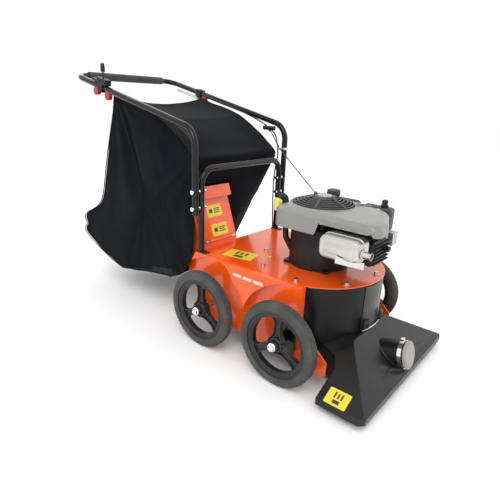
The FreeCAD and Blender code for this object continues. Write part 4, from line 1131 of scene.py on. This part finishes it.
def labels():
    bars = [(0.14, 0.36, 0.34, 0.66)]
    bars += [(0.46, end, low, low + 0.08) for end, low in ((0.86, 0.62), (0.80, 0.46), (0.84, 0.30))]
    lean = math.atan2(0.0817, 0.2285)
    back, up = Vector((0, math.cos(lean), -math.sin(lean))), Vector((0, math.sin(lean), math.cos(lean)))
    hinge = Vector((-0.119, FRONT + 0.467 + 0.0048, DECK + 0.014))
    for name, x, z, wide, high in (("door_label_upper", -0.035, 0.100, 0.085, 0.050),
                                   ("door_label_lower", -0.030, 0.020, 0.090, 0.050)):
        origin = hinge + Vector((x, 0, 0)) + back * -0.0035 + up * z
        label(name, origin, Vector((wide, 0, 0)), up * high, "door", bars)
    slope = Vector((0.222, 0, 0.114)).normalized()
    origin = Vector((-0.346, FRONT - 0.278, 0.0489))
    label("nozzle_label", origin, slope * 0.056, Vector((0, 0.074, 0)), "chassis", bars)
    turn = math.radians(12)
    across = Vector((math.cos(turn), math.sin(turn), 0))
    upward = Vector((-math.sin(turn), math.cos(turn), 0))
    label("deck_label", Vector((-0.186, FRONT + 0.245, DECK)), across * 0.082, upward * 0.125, "chassis", bars)
    spot = Vector((-0.104, FRONT + 0.212, DECK))
    label("deck_label_small", spot, across * 0.020, upward * 0.018, "chassis", bars[:1])
    wall = NODES["deck_body"]
    _, place, _, _ = wall.ray_cast(Vector((-0.5, FRONT + 0.250, 0.312)), Vector((1, 0, 0)))
    stripes = [(0.04, 0.30, 0.2, 0.8), (0.36, 0.62, 0.2, 0.8), (0.68, 0.96, 0.2, 0.8)]
    ahead, up = Vector((0, -0.150, 0)), Vector((0, 0, 0.018))
    label("side_stripe", place, ahead, up, "chassis", stripes, ORANGE, PALE)


def latches():
    """The catches and rolled lower edge of the access plate."""
    centre = Vector((0, CRANK))
    for k, degrees in enumerate((257.0, 283.0)):
        angle = math.radians(degrees)
        out = Vector((math.cos(angle), math.sin(angle), 0))
        side = Vector((-out.y, out.x, 0))
        rings = []
        for reach, wide, low, high in ((0.2503, 0.015, 0.176, 0.212), (0.2570, 0.015, 0.176, 0.212),
                                       (0.2600, 0.013, 0.179, 0.208), (0.2640, 0.008, 0.184, 0.200)):
            points = rounded_rectangle(-wide, wide, low, high, 0.003, 3)
            middle = centre.to_3d() + out * reach
            rings.append([middle + side * a + Vector((0, 0, b)) for a, b in points])
        finish_piece(skin(f"access_latch_{k}", rings), PLASTIC, "chassis", (), bevel=0.0008)
    path = []
    for k in range(25):
        angle = math.radians(253.5 + 33 * k / 24)
        path.append(Vector((0.2530 * math.cos(angle), CRANK + 0.2530 * math.sin(angle), 0.1715)))
    edge = tube_along("access_rolled_edge", path, 0.0026, 12)
    finish_piece(edge, BRIGHT, "chassis", (), smooth=60)


def foam():
    low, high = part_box("foam_grip")
    y, z = (low.y + high.y) / 2, (low.z + high.z) / 2
    reach, radius = (high.x - low.x) / 2, (high.z - low.z) / 2
    end = [(reach - 0.004, radius), (reach - 0.0012, radius - 0.001), (reach, radius - 0.003), (reach, 0.0128)]
    profile = [(-along, r) for along, r in reversed(end)]
    profile += [(-reach + 0.012 + (2 * reach - 0.024) * k / 40, radius) for k in range(41)]
    profile += end + [(-reach, 0.0128)]

    def place(along, a, b):
        return Vector((along, y + a, z + b))

    def dents(i, j):
        from mathutils import noise

        along = profile[i][0]
        return -0.0007 * abs(noise.noise(Vector((along * 18, j * 0.13, 2.0)))) if 3 < i < 46 else 0.0

    obj = lathe("foam_sleeve", profile, place, 48, dents)
    finish_piece(obj, FOAM, "chassis", ["foam_grip"], smooth=45)


bag()
engine_cover()
starter_disc()
exhaust()
caps()
dipstick()
labels()
latches()
foam()
soften_cad("nozzle", width=0.004)
soften_cad("deck_body", "housing_cover", "discharge_chute", "chute_door", width=0.0012)
soften_cad("fuel_tank", "air_filter", width=0.0012)
soften_cad("impeller_housing", "gearbox", "lower_handle", "upper_handle", width=0.0008)
soften_cad("lever_clamp", "drive_lever", "throttle_housing", "throttle_lever", width=0.0008)
soften_cad("engine_block", "cylinder_head", "recoil_cover", "carburettor", width=0.0008)
soften_cad("access_plate", "port_clamp", "port_cap", width=0.0008)

# ---- floor and lights --------------------------------------------------------------------------------


def studio():
    floor_mat = Shader("studio_floor")
    greys = [(0.3, (0.95, 0.95, 0.95)), (0.7, (0.98, 0.98, 0.98))]
    floor_mat.set(Base_Color=floor_mat.ramp(floor_mat.noise(2.0), greys))
    floor_mat.set(Roughness=0.9)
    bpy.ops.mesh.primitive_plane_add(size=60)
    floor = bpy.context.object
    floor.name = "floor"
    floor.data.materials.append(floor_mat.mat)
    world = bpy.data.worlds.new("studio")
    bpy.context.scene.world = world
    world.use_nodes = True
    world.node_tree.nodes["Background"].inputs["Color"].default_value = (1, 1, 1, 1)
    world.node_tree.nodes["Background"].inputs["Strength"].default_value = 1.03
    for name, place, size, power in (
        ("key", (-2.4, -1.4, 3.2), 2.4, 60),
        ("fill", (2.8, -2.4, 2.2), 2.6, 12),
        ("back", (0.6, 3.0, 2.8), 2.4, 25),
    ):
        light = bpy.data.lights.new(name, "AREA")
        light.size = size
        light.energy = power
        lamp = bpy.data.objects.new(name, light)
        lamp.location = place
        lamp.rotation_euler = (Vector((0, 0, 0.4)) - Vector(place)).to_track_quat("-Z", "Y").to_euler()
        bpy.context.collection.objects.link(lamp)


studio()
